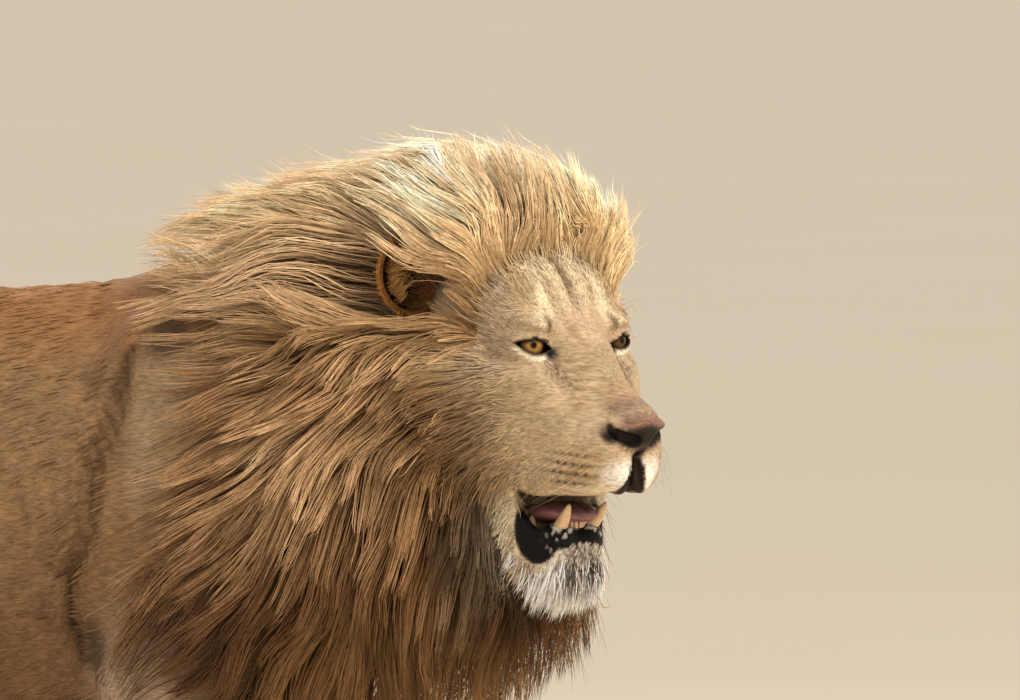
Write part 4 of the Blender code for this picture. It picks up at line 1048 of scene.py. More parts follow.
def mane_colour(p):
    """Colour of the mane at each place: pale at the crown and top, brown at the sides, dark below."""
    q = head_local(p)
    m, x, z = mirrored(q), p[:, 0], p[:, 2]
    colour = np.broadcast_to(linear("#a98159"), p.shape).copy()
    lay = painter(colour)
    lay(smooth_step(z, .95, 1.18) * .9, "#d8b485")  # top
    lay(smooth_step(z, 1.08, 1.22) * smooth_step(x, .55, .75), "#e6c9a2")
    lay(.6 * smooth_step(z, 1.0, 1.2) * (1 - smooth_step(x, .42, .60)), "#bb9469")
    lay(.9 * near(p, (.63, 0, .855), (.13, 9, .08)), "#d6ae80")  # pale middle of the side
    lay(.5 * near(p, (.60, 0, .99), (.13, 9, .05)), "#8a6542")
    lay(.5 * near(p, (.79, 0, .87), (.05, 9, .09)), "#b08a5c")
    lay(.95 * (1 - smooth_step(z, .68, .80)) * smooth_step(x, .46, .60), "#3d2107")  # dark below
    lay(.85 * (1 - smooth_step(z, .62, .71)) * smooth_step(x, .50, .60), "#9a764a")
    lay(.85 * near(p, (.48, 0, .645), (.10, 9, .085)), "#2a1604")  # at the elbow
    lay(.9 * near(p, (.92, 0, 1.17), (.13, 9, .07)), "#ffe6b2")  # crown
    lay(.5 * near(p, (.66, 0, 1.03), (.09, 9, .05)), "#7d5834")
    lay(.45 * (1 - smooth_step(z, .70, .86)), "#59391f")
    lay(.7 * near(p, (.76, 0, 1.06), (.035, 9, .06)), "#4f3218")  # behind the ear
    lay(.6 * near(p, (.58, 0, 1.12), (.13, 9, .06)), "#d9b489")
    lay(.6 * near(m, (-.09, .085, .075), (.03, .035, .035)), "#9a6332")  # between ear and brow
    close = 1 - smooth_step(face_edge(q) - q[:, 0], .01, .07)  # next to the face
    lay(.7 * close * smooth_step(q[:, 2], -.20, -.02), "#bb966a")
    lay(.6 * close * (1 - smooth_step(q[:, 2], -.26, -.08)), "#73522f")
    lay(.95 * near(p, (.862, 0, .775), (.065, 9, .11)), "#2a1505")  # behind the jaw and cheek
    lay(.9 * near(p, (.875, 0, .90), (.040, 9, .10)), "#2f1a08")
    lay(.85 * near(m, (-.085, .080, -.245), (.045, .06, .055)), "#cfb894")
    dark = near(p, (.885, -.30, 1.20), (.05, .2, .03)) + near(p, (.60, -.20, 1.13), (.05, .1, .022))
    lay(.6 * dark, "#5a3a22")
    return colour


tone = 1 + .25 * rng.normal(size=LOCKS)[lock % LOCKS] + .16 * rng.normal(size=STRANDS)[strand % STRANDS]
tone = np.clip(tone + .10 * rng.normal(size=len(path)), .45, 1.7)
tip = path[:, -1]
fade = smooth_step(np.linspace(0, 1, RINGS), .0, .75)[None, :, None]  # the light that reaches each ring
colours = (.65 * mane_colour(tip) + .35 * mane_colour(path[:, RINGS // 2]))[:, None] * (.36 + .74 * fade)
colours = colours * (np.array((1, .94, .82)) + np.array((0, .08, .26)) * fade)
tone = tone * (1 + .16 * ripple(tip, .16, 61) + .14 * ripple(tip * (1, 1, .6), .06, 62))
colours = colours * np.clip(tone, .35, 1.9)[:, None, None] ** np.array((1, 1.08, 1.25))
colours = np.clip(colours * (1.06 + .22 * smooth_step(tip[:, 2], 1.05, 1.18)[:, None, None]), 0, 1)
width = rng.uniform(.0009, .0020, len(path))
right_side = tip[:, 1] < np.interp(tip[:, 0], (.45, .95), (0, -.17))
part = np.where(tip[:, 2] < .685, 5, np.where(right_side, 1, 3) + (tip[:, 2] < .93))
part = np.where(tip[:, 2] > 1.10, np.where(right_side, 0, 6), part)
names = ("mane_top_right", "mane_right_upper", "mane_right_lower", "mane_left_upper",
         "mane_left_lower", "mane_breast", "mane_top_left")
covers = {"mane_top_right": ["mane_crown"], "mane_right_upper": ["mane_right"],
          "mane_left_upper": ["mane_left"], "mane_breast": ["mane_chest"]}
out_way = sample(mane_out, path)
for i, name in enumerate(names):
    pick = part == i
    piece = tufts(name, path[pick], out_way[pick], width[pick], colours[pick], soft=.55)
    piece.data.materials.append(hair)
    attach(piece, "root")
    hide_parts(*covers.get(name, []))

# ==== Short coat ====
# Flat guard hairs over the whole hide, from 2 mm at the lips to 4 cm on the belly. They run back
# from the nose, down the legs and back along the trunk.


def lie_of_coat(p):
    """The way the short hair runs on the body: back and a little down on the trunk, down on the
    legs and rump, forward on the feet, with a slow wave."""
    x, y, z = p.T
    drop = np.maximum(smooth_step(-z, -.70, -.50), .8 * smooth_step(-x, .62, .80))
    way = np.stack((-(1 - .92 * drop), .15 * np.sign(y) * (1 - drop), -.30 - .9 * drop), 1)
    foot = (1 - smooth_step(z, .05, .10))[:, None]
    way = way * (1 - foot) + foot * np.array((.6, 0, -.5))
    return way + np.stack([ripple(p, .12, seed) for seed in (21, 22, 23)], 1) * .22


def lie_of_face(q):
    """The way the hair runs on the face: away from the nose, up the forehead, down the jaw."""
    from_nose = q - np.array((.150, 0, -.075))
    way = unit(from_nose * np.array((1, 1.1, 1)))
    way[:, 2] -= .55 * smooth_step(-q[:, 2], .10, .24) + .1
    way[:, 2] += .5 * smooth_step(q[:, 2], .01, .08)
    from_eye = q - EYE_AT * np.stack((np.ones(len(q)), np.sign(q[:, 1]), np.ones(len(q))), 1)
    close = np.exp(-(np.linalg.norm(from_eye, axis=1) / .034) ** 4)[:, None]
    way = way * (1 - .6 * close) + unit(from_eye) * close * .6
    return way + np.stack([ripple(q, .05, seed) for seed in (31, 32, 33)], 1) * .20


def run_out(roots, way, length, t):
    """Places from each root out along its way, at shares t of its length."""
    return roots[:, None] + way[:, None] * (length[:, None] * t)[..., None]


def laid(roots, normals, way, length, lift, sag=0.0):
    """Paths of three places, that rise from their roots by lift and bend over along the skin."""
    flat_way = unit(way - (way * normals).sum(1, keepdims=True) * normals)
    t = np.linspace(0, 1, 3)
    rise = lift[:, None] * (t - .55 * t ** 2)[None]
    path = run_out(roots, flat_way, length, t) + normals[:, None] * (length[:, None] * rise)[..., None]
    path[..., 2] -= sag * length[:, None] * t[None] ** 2
    return path - normals[:, None] * .0008


def shaded(roots_colour, rings, rng, spread=.12, root=.90, tip=1.08):
    """A tuft's colours: its root's, darker at the root and paler at the tip, each tuft a little off."""
    tone = np.clip(1 + spread * rng.normal(size=len(roots_colour)), .5, 1.6)
    fade = np.linspace(root, tip, rings)[None, :, None]
    return np.clip(roots_colour[:, None] * tone[:, None, None] * fade, 0, 1)


all_points, all_faces, _ = skin_mesh
of_body = all_faces[:, 0] < body_points
rng = np.random.default_rng(11)


def bare_body(c, n):
    """Chance of a tuft on the body: none under the mane or on pads, more where hairs are small."""
    under = smooth_step(sample(mane_field, c), -.035, -.010)
    under = np.where((c[:, 0] < .22) | (c[:, 2] < .46), 1, under)
    pads = 1 - smooth_step(-n[:, 2], .3, .7) * (c[:, 2] < .03)
    more = 1 + 1.6 * (c[:, 2] < .12) + .9 * (1 - smooth_step(c[:, 2], .35, .60))
    return under * pads * (more + 1.3 * smooth_step(c[:, 0], .15, .30))


def body_coat(name, count, chance):
    """One piece of the short coat on the body."""
    roots, normals = scattered(all_points, all_faces[of_body], count, chance, rng)
    z = roots[:, 2]
    length = (.011 + .012 * smooth_step(z, .35, .75)) * rng.uniform(.7, 1.3, count)
    length *= np.where((z > .45) & (z < .62) & (np.abs(roots[:, 1]) < .13), 1.7, 1)  # belly
    length *= 1 - .45 * (1 - smooth_step(z, .04, .12))
    lift = .10 + .14 * rng.uniform(size=count) + .10 * (z < .6)
    path = laid(roots, normals, lie_of_coat(roots), length, lift)
    colours = shaded(coat_colour(roots, normals)[0], 3, rng, .07)
    piece = tufts(name, path, normals, length * rng.uniform(.085, .13, count), colours, soft=.85)
    piece.data.materials.append(hair)
    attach(piece, "root")


def trunk_room(c, n):
    """Chance of a tuft above the legs."""
    return bare_body(c, n) * smooth_step(c[:, 2], .50, .56) * (c[:, 0] > -.90)


def leg_room(c, n):
    """Chance of a tuft on the legs and the tail."""
    return bare_body(c, n) * np.where(c[:, 0] < -.90, 1.5, 1 - smooth_step(c[:, 2], .54, .60))


body_coat("coat_trunk", 13000, trunk_room)
body_coat("coat_legs", 9000, leg_room)


def face_room(c, n):
    """Chance of a tuft on the head: none on bare skin or inside the mouth, fewer under the mane."""
    q = head_local(c)
    m = mirrored(q)
    clear = 1 - smooth_step(coat_colour(c)[1], .15, .40)
    clear *= smooth_step(mouth_space(q), .0010, .0045)
    slit, d = eye_slit(q)
    clear *= smooth_step(slit, .0020, .0045) + (d[:, 0] < .0)
    fore = smooth_step(q[:, 0] - face_edge(q), -.05, -.01)
    muzzle = 1.2 * near(m, (.06, .04, -.09), (.08, .06, .09))
    pads = 1.2 * near(m, (.06, .055, -.142), (.04, .035, .03))
    return np.clip(clear, 0, 1) * (.02 + fore) * (1 + muzzle + pads)


roots, normals = scattered(all_points, all_faces[~of_body], 28000, face_room, rng)
q = head_local(roots)
m = mirrored(q)
to_edge = 1 - smooth_step(q[:, 0] - face_edge(q), .0, .075)
jaw = smooth_step(-q[:, 2], .13, .24) * smooth_step(-q[:, 0], -.03, .05)
length = .0055 + .0050 * smooth_step(.06 - q[:, 0], 0, .08)
length = length + .010 * to_edge * np.where(q[:, 2] > .02, .5, 1) + .010 * jaw
length *= rng.uniform(.75, 1.3, len(q)) * (1 - .55 * (1 - smooth_step(mouth_space(q), .004, .030)))
length *= 1 - .45 * near(m, EYE_AT, (.05, .036, .026)) - .4 * near(m, (.09, 0, -.07), (.07, .05, .06))
lift = .16 + .20 * rng.uniform(size=len(q)) + .25 * to_edge
way = (unit(lie_of_face(q)) + .20 * rng.normal(size=q.shape)) @ HEAD
path = laid(roots, normals, way, length, lift, sag=.15)
colours = shaded(coat_colour(roots)[0], 3, rng, .27, .78, 1.24)
width = .00045 + length * .050
half = np.arange(len(q)) % 2
for i, name in enumerate(("coat_face", "coat_cheeks")):
    pick = half == i
    piece = tufts(name, path[pick], normals[pick], width[pick], colours[pick], soft=.8)
    piece.data.materials.append(hair)
    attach(piece, "root")

# ==== Ruff ====
# Hair of growing length between the short coat of the face and the mane, all round the face. It
# is rooted in the cheeks and brow, and turns from the face's lie to the mane's.


def ruff_room(c, n):
    """Chance of a tuft in the band before the mane's edge, clear of the mouth and the eyes."""
    q = head_local(c)
    ahead = q[:, 0] - face_edge(q)
    reach = np.where(q[:, 2] > .02, .014, .046)
    band = smooth_step(ahead, -.03, -.01) * (1 - smooth_step(ahead, .002, reach))
    clear = smooth_step(np.linalg.norm(mirrored(q) - EYE_AT, axis=1), .038, .048)
    return band * smooth_step(mouth_space(q), .014, .026) * clear


roots, normals = scattered(all_points, all_faces[~of_body], 5000, ruff_room, rng)
q = head_local(roots)
ahead = q[:, 0] - face_edge(q)
length = .012 + .050 * (1 - smooth_step(ahead, -.02, .045)) * np.where(q[:, 2] > .02, .7, 1)
length = length * rng.uniform(.7, 1.25, len(q))
way = unit(lie_of_face(q) @ HEAD)
path = [roots]
p = roots
for turned_over in (0, 1 / 3, 2 / 3, 1):
    heading = way * (1 - turned_over * .8) + lie_of_mane(p) * turned_over * .8
    p = p + unit(heading + normals * (.30 - .10 * turned_over)) * (length / 4)[:, None]
    path.append(p)
path, _ = gathered(np.stack(path, 1), 900, .45)
base = coat_colour(roots)[0]
deep = .80 * (1 - smooth_step(ahead, -.02, .03))[:, None]
base = base * (1 - deep) + mane_colour(roots) * deep
lay = painter(base)
lay(.45 * near(mirrored(q), (-.080, .12, -.115), (.040, .05, .07)), "#5c3f22")
lay(.7 * near(mirrored(q), (-.075, .075, -.235), (.05, .06, .06)), "#dccaa8")
keep = clear_of_ear(path, (.014, .014, 0), (.040, .042, .046))
width = rng.uniform(.0009, .0018, len(q)) * (.6 + length * 9)
colours = shaded(base, 5, rng, .18, .80, 1.15)
piece = tufts("ruff", path[keep], normals[keep], width[keep], colours[keep], soft=.6)
piece.data.materials.append(hair)
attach(piece, "root")

# ==== Beard ====
# Longer white hair under the chin and along the jaw, hanging in thin locks, with a sooty patch
# under the lip and some tan hairs.


def chin_room(c, n):
    """Chance of a tuft under the chin and on the jaw's edge, clear of the lip."""
    q = head_local(c)
    m = mirrored(q)
    below = near(m, (-.012, 0, -.275), (.048, .050, .030), 3)
    below = below + .6 * near(m, (-.05, .05, -.245), (.05, .03, .04))
    below = below * smooth_step(-n[:, 2], -.55, .1) * smooth_step(mouth_space(q), .007, .012)
    return below * (1 - smooth_step(m[:, 2], -.244, -.236))


roots, normals = scattered(all_points, all_faces[~of_body], 2600, chin_room, rng)
q = head_local(roots)
length = rng.uniform(.012, .044, len(q)) * (1 - .45 * smooth_step(q[:, 2], -.262, -.235))
way = normals * .5 + np.array((0, 0, -1.3)) - HEAD[0] * .20 + rng.normal(size=(len(q), 3)) * .32
t = np.linspace(0, 1, 5)
path = run_out(roots, unit(way), length, t)
path[..., 2] -= .007 * t ** 2
path = path - HEAD[0] * (.012 * t ** 2)[None, :, None]
path, _ = gathered(path, 240, .50)
white = coat_colour(roots)[0] * .08 + linear("#ffffff") * .92
tan = (rng.uniform(size=len(q)) < .08 + .4 * smooth_step(-q[:, 0], .02, .06))[:, None]
white = np.where(tan, linear("#b8966a"), white)
sooty = rng.uniform(size=len(q)) < .65
painter(white)(near(mirrored(q), (.014, .012, -.254), (.026, .022, .020)) * sooty, "#35241a")
width = rng.uniform(.0008, .0015, len(q))
piece = tufts("beard", path, normals, width, shaded(white, 5, rng, .10, .95, 1.2))
piece.data.materials.append(hair)
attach(piece, "root")

# ==== Tail tuft ====
# Coarse dark brown hair, 6 to 11 cm long, rooted all round the last quarter of the tail.
rows = smooth_rows(TAIL)
rng = np.random.default_rng(5)
TAIL_TUFTS = 1050
at = rng.uniform(.72, .995, TAIL_TUFTS) * (len(rows) - 1)
i = np.minimum(at.astype(int), len(rows) - 2)
centre = rows[i] + (rows[i + 1] - rows[i]) * (at - i)[:, None]
run = rows[i + 1, :3] - rows[i, :3]
around = unit(np.cross(run, rng.normal(size=run.shape)))
roots = centre[:, :3] + around * centre[:, 3:4] * .7
length = rng.uniform(.06, .11, TAIL_TUFTS) * (1 - .25 * smooth_step(at / len(rows), .9, 1))
t = np.linspace(0, 1, 7)
bulge = .030 * np.sin(np.pi * np.minimum(t * .75 + .02, 1)) * rng.uniform(.2, 1.1, (TAIL_TUFTS, 1))
path = run_out(roots, unit(run), length, t) + around[:, None] * bulge[..., None]
path, _ = gathered(path, 110, .5)
path[..., 2] = np.maximum(path[..., 2], .115)
width = rng.uniform(.0022, .0036, TAIL_TUFTS)
brown = np.broadcast_to(linear("#3b2516"), roots.shape)
tuft = tufts("tail_hair", path, around, width, shaded(brown, 7, rng, .25, .7, 1.25))
tuft.data.materials.append(hair)
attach(tuft, "root")
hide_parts("tail_tuft")


# ==== Ears ====
# Short round cups of gristle, ruddy behind, with painted shade inside and long pale hairs across the
# mouth.
# Each is a thick bowl set behind the brow, with short hair rooted all over it.
EAR_TUFTS, EAR_HAIRS = 2000, 300


def capped(p):
    """A closed surface over rings of places, whose first and last rings are drawn in to a point
    each, wound so that its volume is positive: (points, faces)."""
    rings, columns = p.shape[:2]
    i, j = np.meshgrid(np.arange(rings - 1) * columns, np.arange(columns), indexing="ij")
    k = (j + 1) % columns
    walls = ((i + j, i + k, i + k + columns), (i + j, i + k + columns, i + j + columns))
    walls = [np.stack(corners, -1).reshape(-1, 3) for corners in walls]
    j, k, last = j[0], k[0], (rings - 1) * columns
    first, final = rings * columns, rings * columns + 1
    caps = [np.stack((0 * j + first, k, j), 1), np.stack((0 * j + final, last + j, last + k), 1)]
    tris = np.vstack(walls + caps)
    points = np.vstack((p.reshape(-1, 3), p[0].mean(0), p[-1].mean(0)))
    a, b, c = points[tris[:, 0]], points[tris[:, 1]], points[tris[:, 2]]
    return points, (tris[:, ::-1] if (a * np.cross(b, c)).sum() < 0 else tris)


rng = np.random.default_rng(3)
ear_hide, ear_rim = [], []
for side, word in ((1, "left"), (-1, "right")):
    facing = unit(np.array((.92, side * .22, .16)))
    across = unit(np.cross(facing, (0, 0, 1.0)) * side)  # towards the middle of the head
    upward = np.cross(across, facing) * side
    phi = np.linspace(0, 2 * np.pi, 57)[:-1]
    turn_out = np.linspace(.02, np.pi / 2, 16)
    radius = np.concatenate((np.sin(turn_out), (.975, .90), .84 * np.sin(turn_out[::-1])))
    inner_deep = -.031 * np.cos(turn_out[::-1]) - .001
    deep = np.concatenate((-.036 * np.cos(turn_out), (.0022, .0012), inner_deep))
    shape = 1 + .05 * np.cos(2 * phi) + .03 * np.sin(phi)
    cup = (np.outer(radius, np.cos(phi) * .042 * shape)[..., None] * across
           + np.outer(radius, np.sin(phi) * .049 * shape)[..., None] * upward
           + deep[:, None, None] * facing)
    cup = cup - (.010 * np.outer(radius ** 2, np.cos(phi)))[..., None] * facing
    place_at = EAR_AT * (1, side, 1)
    centre, outward = head_point(place_at), facing @ HEAD
    points, faces = capped(cup + place_at)
    points = head_point(points)
    inner = np.concatenate((np.repeat(np.arange(len(radius)) >= 18, len(phi)), (False, True)))
    deepness = np.concatenate((np.repeat(radius, len(phi)), (0, 0)))
    # painted shade on the cup's lining, darkest at its deep middle, ruddy towards the rim
    lining = np.broadcast_to(linear("#241509"), points.shape).copy()
    painter(lining)(smooth_step(deepness, .55, .82), "#a8733f")
    colour = np.where(inner[:, None], lining, linear("#ad723c"))
    ear = put("pinna_" + word, points, faces, [("coat", np.clip(colour, 0, 1)), ("wet", inner * .15)])
    ear.data.materials.append(hide)
    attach(ear, "root")
    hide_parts("ear_" + word)

    def cup_room(c, n):
        """Chance of a tuft: high inside the cup, low on its back, highest round its rim."""
        inside = np.where(((c - centre) * n).sum(1) < 0, 1.0, .25)
        return inside + 1.2 * smooth_step((c - centre) @ outward, -.008, .0)

    roots, normals = scattered(points, faces, EAR_TUFTS, cup_room, rng)
    rel = roots - centre
    is_inner = (normals * rel).sum(1) < 0
    edge_way = unit(rel - (rel @ outward)[:, None] * outward)
    length = np.where(is_inner, .013, .008) * rng.uniform(.7, 1.3, len(roots))
    path = laid(roots, normals, edge_way + outward * .3, length, np.full(len(roots), .35))
    # painted shade on the hair inside the cup
    base = np.where(is_inner[:, None], linear("#38230f"), linear("#a9713c"))
    painter(base)(.9 * smooth_step(np.linalg.norm(rel, axis=1), .026, .038), "#bd8247")
    ear_hide.append((path, normals, base, length))

    # Long hairs from the rim on the outer side, fanned over the cup
    start = rng.uniform(-.9, 1.35, EAR_HAIRS)
    rim = upward * .042 * np.sin(start)[:, None] - across * .034 * np.cos(start)[:, None]
    edge = centre + rim @ HEAD + outward * .004
    fan = (across + facing * .45) + upward * (.55 - .95 * start)[:, None]
    towards = unit(fan @ HEAD + rng.normal(size=edge.shape) * .32)
    t = np.linspace(0, 1, 5)
    span = rng.uniform(.012, .034, EAR_HAIRS) * (1 + .3 * np.sin(start * 9))
    bow = outward * (.010 * np.sin(np.pi * t))[None, :, None]
    ear_rim.append((run_out(edge, towards, span, t) + bow, np.broadcast_to(outward, edge.shape)))
path, normals, base, length = [np.concatenate(values) for values in zip(*ear_hide)]
piece = tufts("ear_coat", path, normals, .0006 + length * .07, shaded(base, 3, rng, .14))
piece.data.materials.append(hair)
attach(piece, "root")
path, normals = [np.concatenate(values) for values in zip(*ear_rim)]
width = rng.uniform(.0008, .0016, len(path))
pale = np.broadcast_to(linear("#a97d49"), normals.shape)
piece = tufts("ear_hairs", path, normals, width, shaded(pale, 5, rng, .25, .60, 1.15))
piece.data.materials.append(hair)
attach(piece, "root")

# ==== Eyes ====
# Wet balls of 40 mm with a slight bulge of cornea: round pupil, amber iris with a dark edge.
wet_eye, tree, shader = new_material("Wet_amber_eye")
painted(tree, shader, 700, .85, 1.15)  # 1.4 mm flecks in the iris
shader.inputs["Roughness"].default_value = .25
shader.inputs["IOR"].default_value = 1.38
shader.inputs["Specular IOR Level"].default_value = .10
shader.inputs["Coat Weight"].default_value = .12  # tear film
shader.inputs["Coat Roughness"].default_value = .03
theta = np.concatenate((np.linspace(.01, 1.1, 45), np.linspace(1.2, math.pi - .02, 14)))
phi = np.linspace(0, 2 * np.pi, 97)[:-1]
for side, word in ((1, "left"), (-1, "right")):
    look = math.radians(20 if side < 0 else 10) * side
    out = np.array((math.cos(look), math.sin(look), .03))
    out = out / np.linalg.norm(out)
    across = unit(np.cross((0, 0, 1.0), out))
    upward = np.cross(out, across)
    ball = EYE_R - .0002 + .0011 * np.exp(-(theta / .75) ** 6)
    ring = np.sin(theta) * ball
    p = ((np.cos(theta) * ball)[:, None, None] * out + np.outer(ring, np.cos(phi))[..., None] * across
         + np.outer(ring, np.sin(phi))[..., None] * upward)
    points, faces = capped(p + EYE_AT * (1, side, 1))
    band = np.repeat(theta[:, None], len(phi), 1)
    flecks = 1 + .22 * np.sin(phi * 37 + 3 * np.sin(phi * 5)) * np.sin(phi * 23 + band * 4)
    colour = np.broadcast_to(linear("#2a1a10"), p.shape).copy()
    for edge, soft, value in ((.92, .05, "#100905"), (.82, .08, "#3c2412"), (.70, .12, "#775429"),
                              (.46, .14, "#a07a42"), (.20, .08, "#120a05")):
        weight = 1 - smooth_step(band, edge - soft, edge + soft)
        colour += weight[..., None] * (linear(value) - colour)
    colour *= np.where((band > .30) & (band < .90), flecks, 1)[..., None]
    height = p @ upward
    colour *= (1 - .80 * smooth_step(height, -.001, .0065))[..., None]  # the upper lid's shade
    colour *= .3 if side > 0 else 1  # this eye lies in the bridge's shade
    colour = np.vstack((colour.reshape(-1, 3), linear("#060403"), linear("#2a1a10")))
    eye = put("eyeball_" + word, head_point(points), faces, [("coat", np.clip(colour, 0, 1))])
    eye.data.materials.append(wet_eye)
    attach(eye, "root")
    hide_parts("eye_" + word)

# ==== Mouth ====
# Tongue of moist pink flesh; canines and incisors of yellowed enamel, set in the jaw.
def two_colours(tree, shader, scale, detail, first, second):
    """Sets the base colour: noise of a scale to the metre, between two hex colours. Returns the
    places it reads."""
    place = add_node(tree, "ShaderNodeTexCoord").outputs["Object"]
    noise = add_node(tree, "ShaderNodeTexNoise", [("Vector", place)])
    noise.inputs["Scale"].default_value, noise.inputs["Detail"].default_value = scale, detail
    mixed = add_node(tree, "ShaderNodeMix", [("Factor", noise.outputs[0])], data_type="RGBA")
    mixed.inputs[6].default_value = (*linear(first), 1)
    mixed.inputs[7].default_value = (*linear(second), 1)
    tree.links.new(mixed.outputs[2], shader.inputs["Base Color"])
    return place


flesh_pink, tree, shader = new_material("Moist_pink_tongue")
place = two_colours(tree, shader, 60, 2, "#5f3a3b", "#99696a")  # 17 mm blotches
buds = add_node(tree, "ShaderNodeTexVoronoi", [("Vector", place)])
buds.inputs["Scale"].default_value = 520  # 2 mm horny buds
bump = add_node(tree, "ShaderNodeBump", [("Height", buds.outputs["Distance"])])
bump.inputs["Strength"].default_value, bump.inputs["Distance"].default_value = .5, .0008
tree.links.new(bump.outputs[0], shader.inputs["Normal"])
shader.inputs["Roughness"].default_value = .3
shader.inputs["Subsurface Weight"].default_value = .1
u = np.linspace(0, 1, 28)
phi = np.linspace(0, 2 * np.pi, 41)[:-1]
wide = .035 * np.sqrt(np.clip(1 - (np.abs(u - .45) / .56) ** 3.5, 0, 1)) + .0005
thick = .0120 * np.sqrt(np.clip(1 - (np.abs(u - .45) / .56) ** 4, 0, 1)) + .0005
groove = np.exp(-(np.cos(phi) / .22) ** 2) * (np.sin(phi) > 0)
up = np.outer(thick, np.sin(phi)) - np.outer(thick * .35, groove)
ahead = np.repeat((-.085 + .106 * u)[:, None], len(phi), 1)
p = np.stack((ahead, np.outer(wide, np.cos(phi)), up - .209 + .010 * np.sin(u * 2.4)[:, None]), -1)
points, faces = capped(p)
tongue = put("tongue_flesh", head_point(points), faces)
tongue.data.materials.append(flesh_pink)
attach(tongue, "root")
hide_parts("tongue")

enamel, tree, shader = new_material("Yellowed_tooth_enamel")
two_colours(tree, shader, 150, 4, "#c89458", "#eed6b2")  # 7 mm stains
shader.inputs["Roughness"].default_value = .28
shader.inputs["IOR"].default_value = 1.62


def tooth(base, tip, radius, bend):
    """A curved peg: rings on a quadratic curve from base to tip, whose radius falls as
    (1 - t^1.6)^0.62."""
    t = np.linspace(0, 1, 18)
    base, tip, bend = (np.array(v, float) for v in (base, tip, bend))
    middle = (base + tip) / 2 + bend
    line = (1 - t)[:, None] ** 2 * base + (2 * t * (1 - t))[:, None] * middle + t[:, None] ** 2 * tip
    along = unit(np.gradient(line, axis=0))
    side = unit(np.cross(along, (0, 1.0, .1)))
    other = np.cross(along, side)
    r = radius * (1 - t ** 1.6) ** .62 + .0004
    phi = np.linspace(0, 2 * np.pi, 19)[:-1]
    wide = (r[:, None] * np.cos(phi))[..., None] * side[:, None] * 1.15
    return capped(line[:, None] + wide + (r[:, None] * np.sin(phi))[..., None] * other[:, None])


def joined(parts):
    """Closed parts in one mesh: (points, faces)."""
    starts = np.cumsum([0] + [len(points) for points, _ in parts[:-1]])
    return (np.vstack([points for points, _ in parts]),
            np.vstack([faces + start for (_, faces), start in zip(parts, starts)]))


incisors = ((.003, .0045, -.217, -.2035, .0023), (.050, .0485, -.148, -.161, .0027))
pegs = []
for s in (1, -1):
    canine = tooth((-.008, s * .0215, -.222), (.0215, s * .0285, -.187), .0078, (.004, s * .002, -.002))
    pegs += [canine, tooth((.034, s * .026, -.146), (.030, s * .0270, -.170), .0070, (.004, 0, 0))]
    for k, across in enumerate((.0035, .0090, .0140)):
        for base_at, tip_at, low, high, radius in incisors:
            base = (base_at - .002 * k, s * across, low)
            pegs.append(tooth(base, (tip_at - .002 * k, s * across * 1.03, high), radius, (.001, 0, 0)))
    for h in (-.040, -.052):
        pegs.append(tooth((h, s * .034, -.222), (h, s * .034, -.204), .0060, (0, 0, 0)))
points, faces = joined(pegs)
teeth = put("teeth", head_point(points), faces)
teeth.data.materials.append(enamel)
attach(teeth, "root")

# ==== Claws ====
# Hooked horn sheaths, drawn back between the toes so that only their tips show.
horn, tree, shader = new_material("Dark_claw_horn")
two_colours(tree, shader, 500, 2, "#2d241d", "#6b5a48")  # 2 mm grain
shader.inputs["Roughness"].default_value = .35
sheaths = []
for x, y, size in STEPS.values():
    for dx, dy in TOES:
        toe = np.array((x + (dx + .028) * size, y + dy * size * 1.05, .036))
        sheaths.append(tooth(toe, toe + (.016, dy * .06, -.014), .0042, (.004, 0, .004)))
claws = put("claws", *joined(sheaths))
claws.data.materials.append(horn)
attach(claws, "root")

# ==== Whiskers ====
# Stiff white bristles from the dark spots of the lip pads, swept back and down.
bristle, tree, shader = new_material("White_whisker")
two_colours(tree, shader, 40, 2, "#b5a488", "#dccdb4")  # 25 mm runs of tone
shader.inputs["Roughness"].default_value = .4
rng = np.random.default_rng(9)
down, back = np.meshgrid(np.arange(4), np.arange(3), indexing="ij")  # four rows of three
spot = np.stack((.084 - .016 * back - .003 * down, .045 + .008 * back,
                 -.118 - .0115 * down + .0012 * back), -1).reshape(-1, 3)
spot = settle(spot + rng.normal(size=spot.shape) * .001, head_distance, 6, .02)
reach = rng.uniform(.035, .075, len(spot))
swept, fall = -.15 - .1 * rng.uniform(size=len(spot)), -.25 - .3 * rng.uniform(size=len(spot))
way = unit(np.stack((swept, .9 + 0 * reach, fall), 1))
t = np.linspace(0, 1, 8)
path = run_out(spot, way, reach, t)
path[..., 0] -= reach[:, None] * .45 * t ** 2
path[..., 2] -= reach[:, None] * .25 * t ** 2
path = head_point(np.concatenate((path, path * (1, -1, 1))))
up_way, white = np.broadcast_to((0, 0, 1.0), path[:, 0].shape), np.ones(path.shape)
whiskers = tufts("whiskers", path, up_way, np.full(len(path), .0004), white, flat=.8,
                 taper=(1 - t) ** .7 + .1)
whiskers.data.materials.append(bristle)
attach(whiskers, "root")

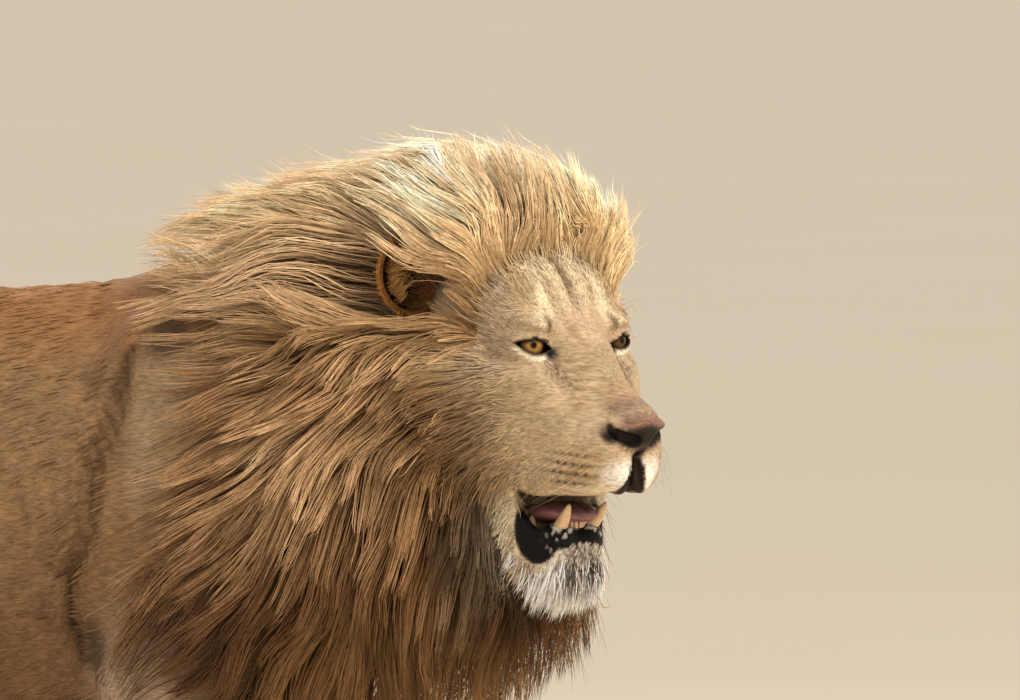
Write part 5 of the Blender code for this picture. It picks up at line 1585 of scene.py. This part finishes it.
# ==== Floor, light and camera ====
# A plain pale floor, and soft warm studio light from above and in front of the head. The camera
# stands 14 m off with a long lens and looks a little down.
FLOOR_REACH, FLOOR_SIDES = 70, 96
ground, tree, shader = new_material("Pale_matt_floor")
two_colours(tree, shader, .6, 2, "#eadac3", "#ecdec9")  # 1.7 m clouds
shader.inputs["Roughness"].default_value = .95
a = np.linspace(0, 2 * np.pi, FLOOR_SIDES + 1)[:-1]
edge = np.stack((FLOOR_REACH * np.cos(a), FLOOR_REACH * np.sin(a), 0 * a), 1)
disc = np.vstack(((0, 0, 0), edge)) - SHIFT
disc[:, 2] = -.0005 - SHIFT[2]
k = np.arange(1, FLOOR_SIDES + 1)
floor = put("floor", disc, np.stack((0 * k, k, np.roll(k, -1)), 1))
floor.data.materials.append(ground)

world = bpy.data.worlds.new("Soft_room")
scene.world = world
scene.view_settings.view_transform = "Standard"
world.use_nodes = True
world.node_tree.nodes["Background"].inputs[0].default_value = (*linear("#e5e1da"), 1)
world.node_tree.nodes["Background"].inputs[1].default_value = 1.0


def standing(right, back, spot):
    """The placing of a light or a camera at a spot, looking away from its back."""
    place = np.eye(4)
    place[:3] = np.stack((right, np.cross(back, right), back, spot), 1)
    return Matrix(place.tolist())


def soft_light(name, spot, aim, size, watts, hex_value):
    """A square panel light at a spot, facing its aim."""
    data = bpy.data.lights.new(name, "AREA")
    data.size, data.energy, data.color = size, watts, linear(hex_value)
    panel = bpy.data.objects.new(name, data)
    scene.collection.objects.link(panel)
    back = unit(np.array(spot) - np.array(aim))
    panel.matrix_world = standing(unit(np.cross((0, 0, 1.0), back)), back, spot)


soft_light("Key", (4.3, -1.6, 5.2), (.6, -.1, .8), 2.4, 270, "#fff5e8")
soft_light("Fill", (-2.5, -4.5, 2.2), (0, 0, .7), 3.0, 15, "#fff4e6")
soft_light("Back", (-1.5, 3.8, 3.6), (.3, 0, .8), 2.5, 90, "#fff1dc")

AZIMUTH, RISE, AWAY, WIDE = math.radians(12), math.radians(3.5), 14.0, 1.2
right = np.array((math.cos(AZIMUTH), math.sin(AZIMUTH), 0))
aim = EYES - right * .0776 + (0, 0, -.008) + SHIFT
across = math.cos(RISE)
back = np.array((math.sin(AZIMUTH) * across, -math.cos(AZIMUTH) * across, math.sin(RISE)))
camera_data = bpy.data.cameras.new("Camera")
camera_data.sensor_width, camera_data.lens, camera_data.clip_end = 36, 36 * AWAY / WIDE, 300
camera = bpy.data.objects.new("Camera", camera_data)
scene.collection.objects.link(camera)
camera.matrix_world = standing(right, back, aim + back * AWAY)
scene.camera = camera
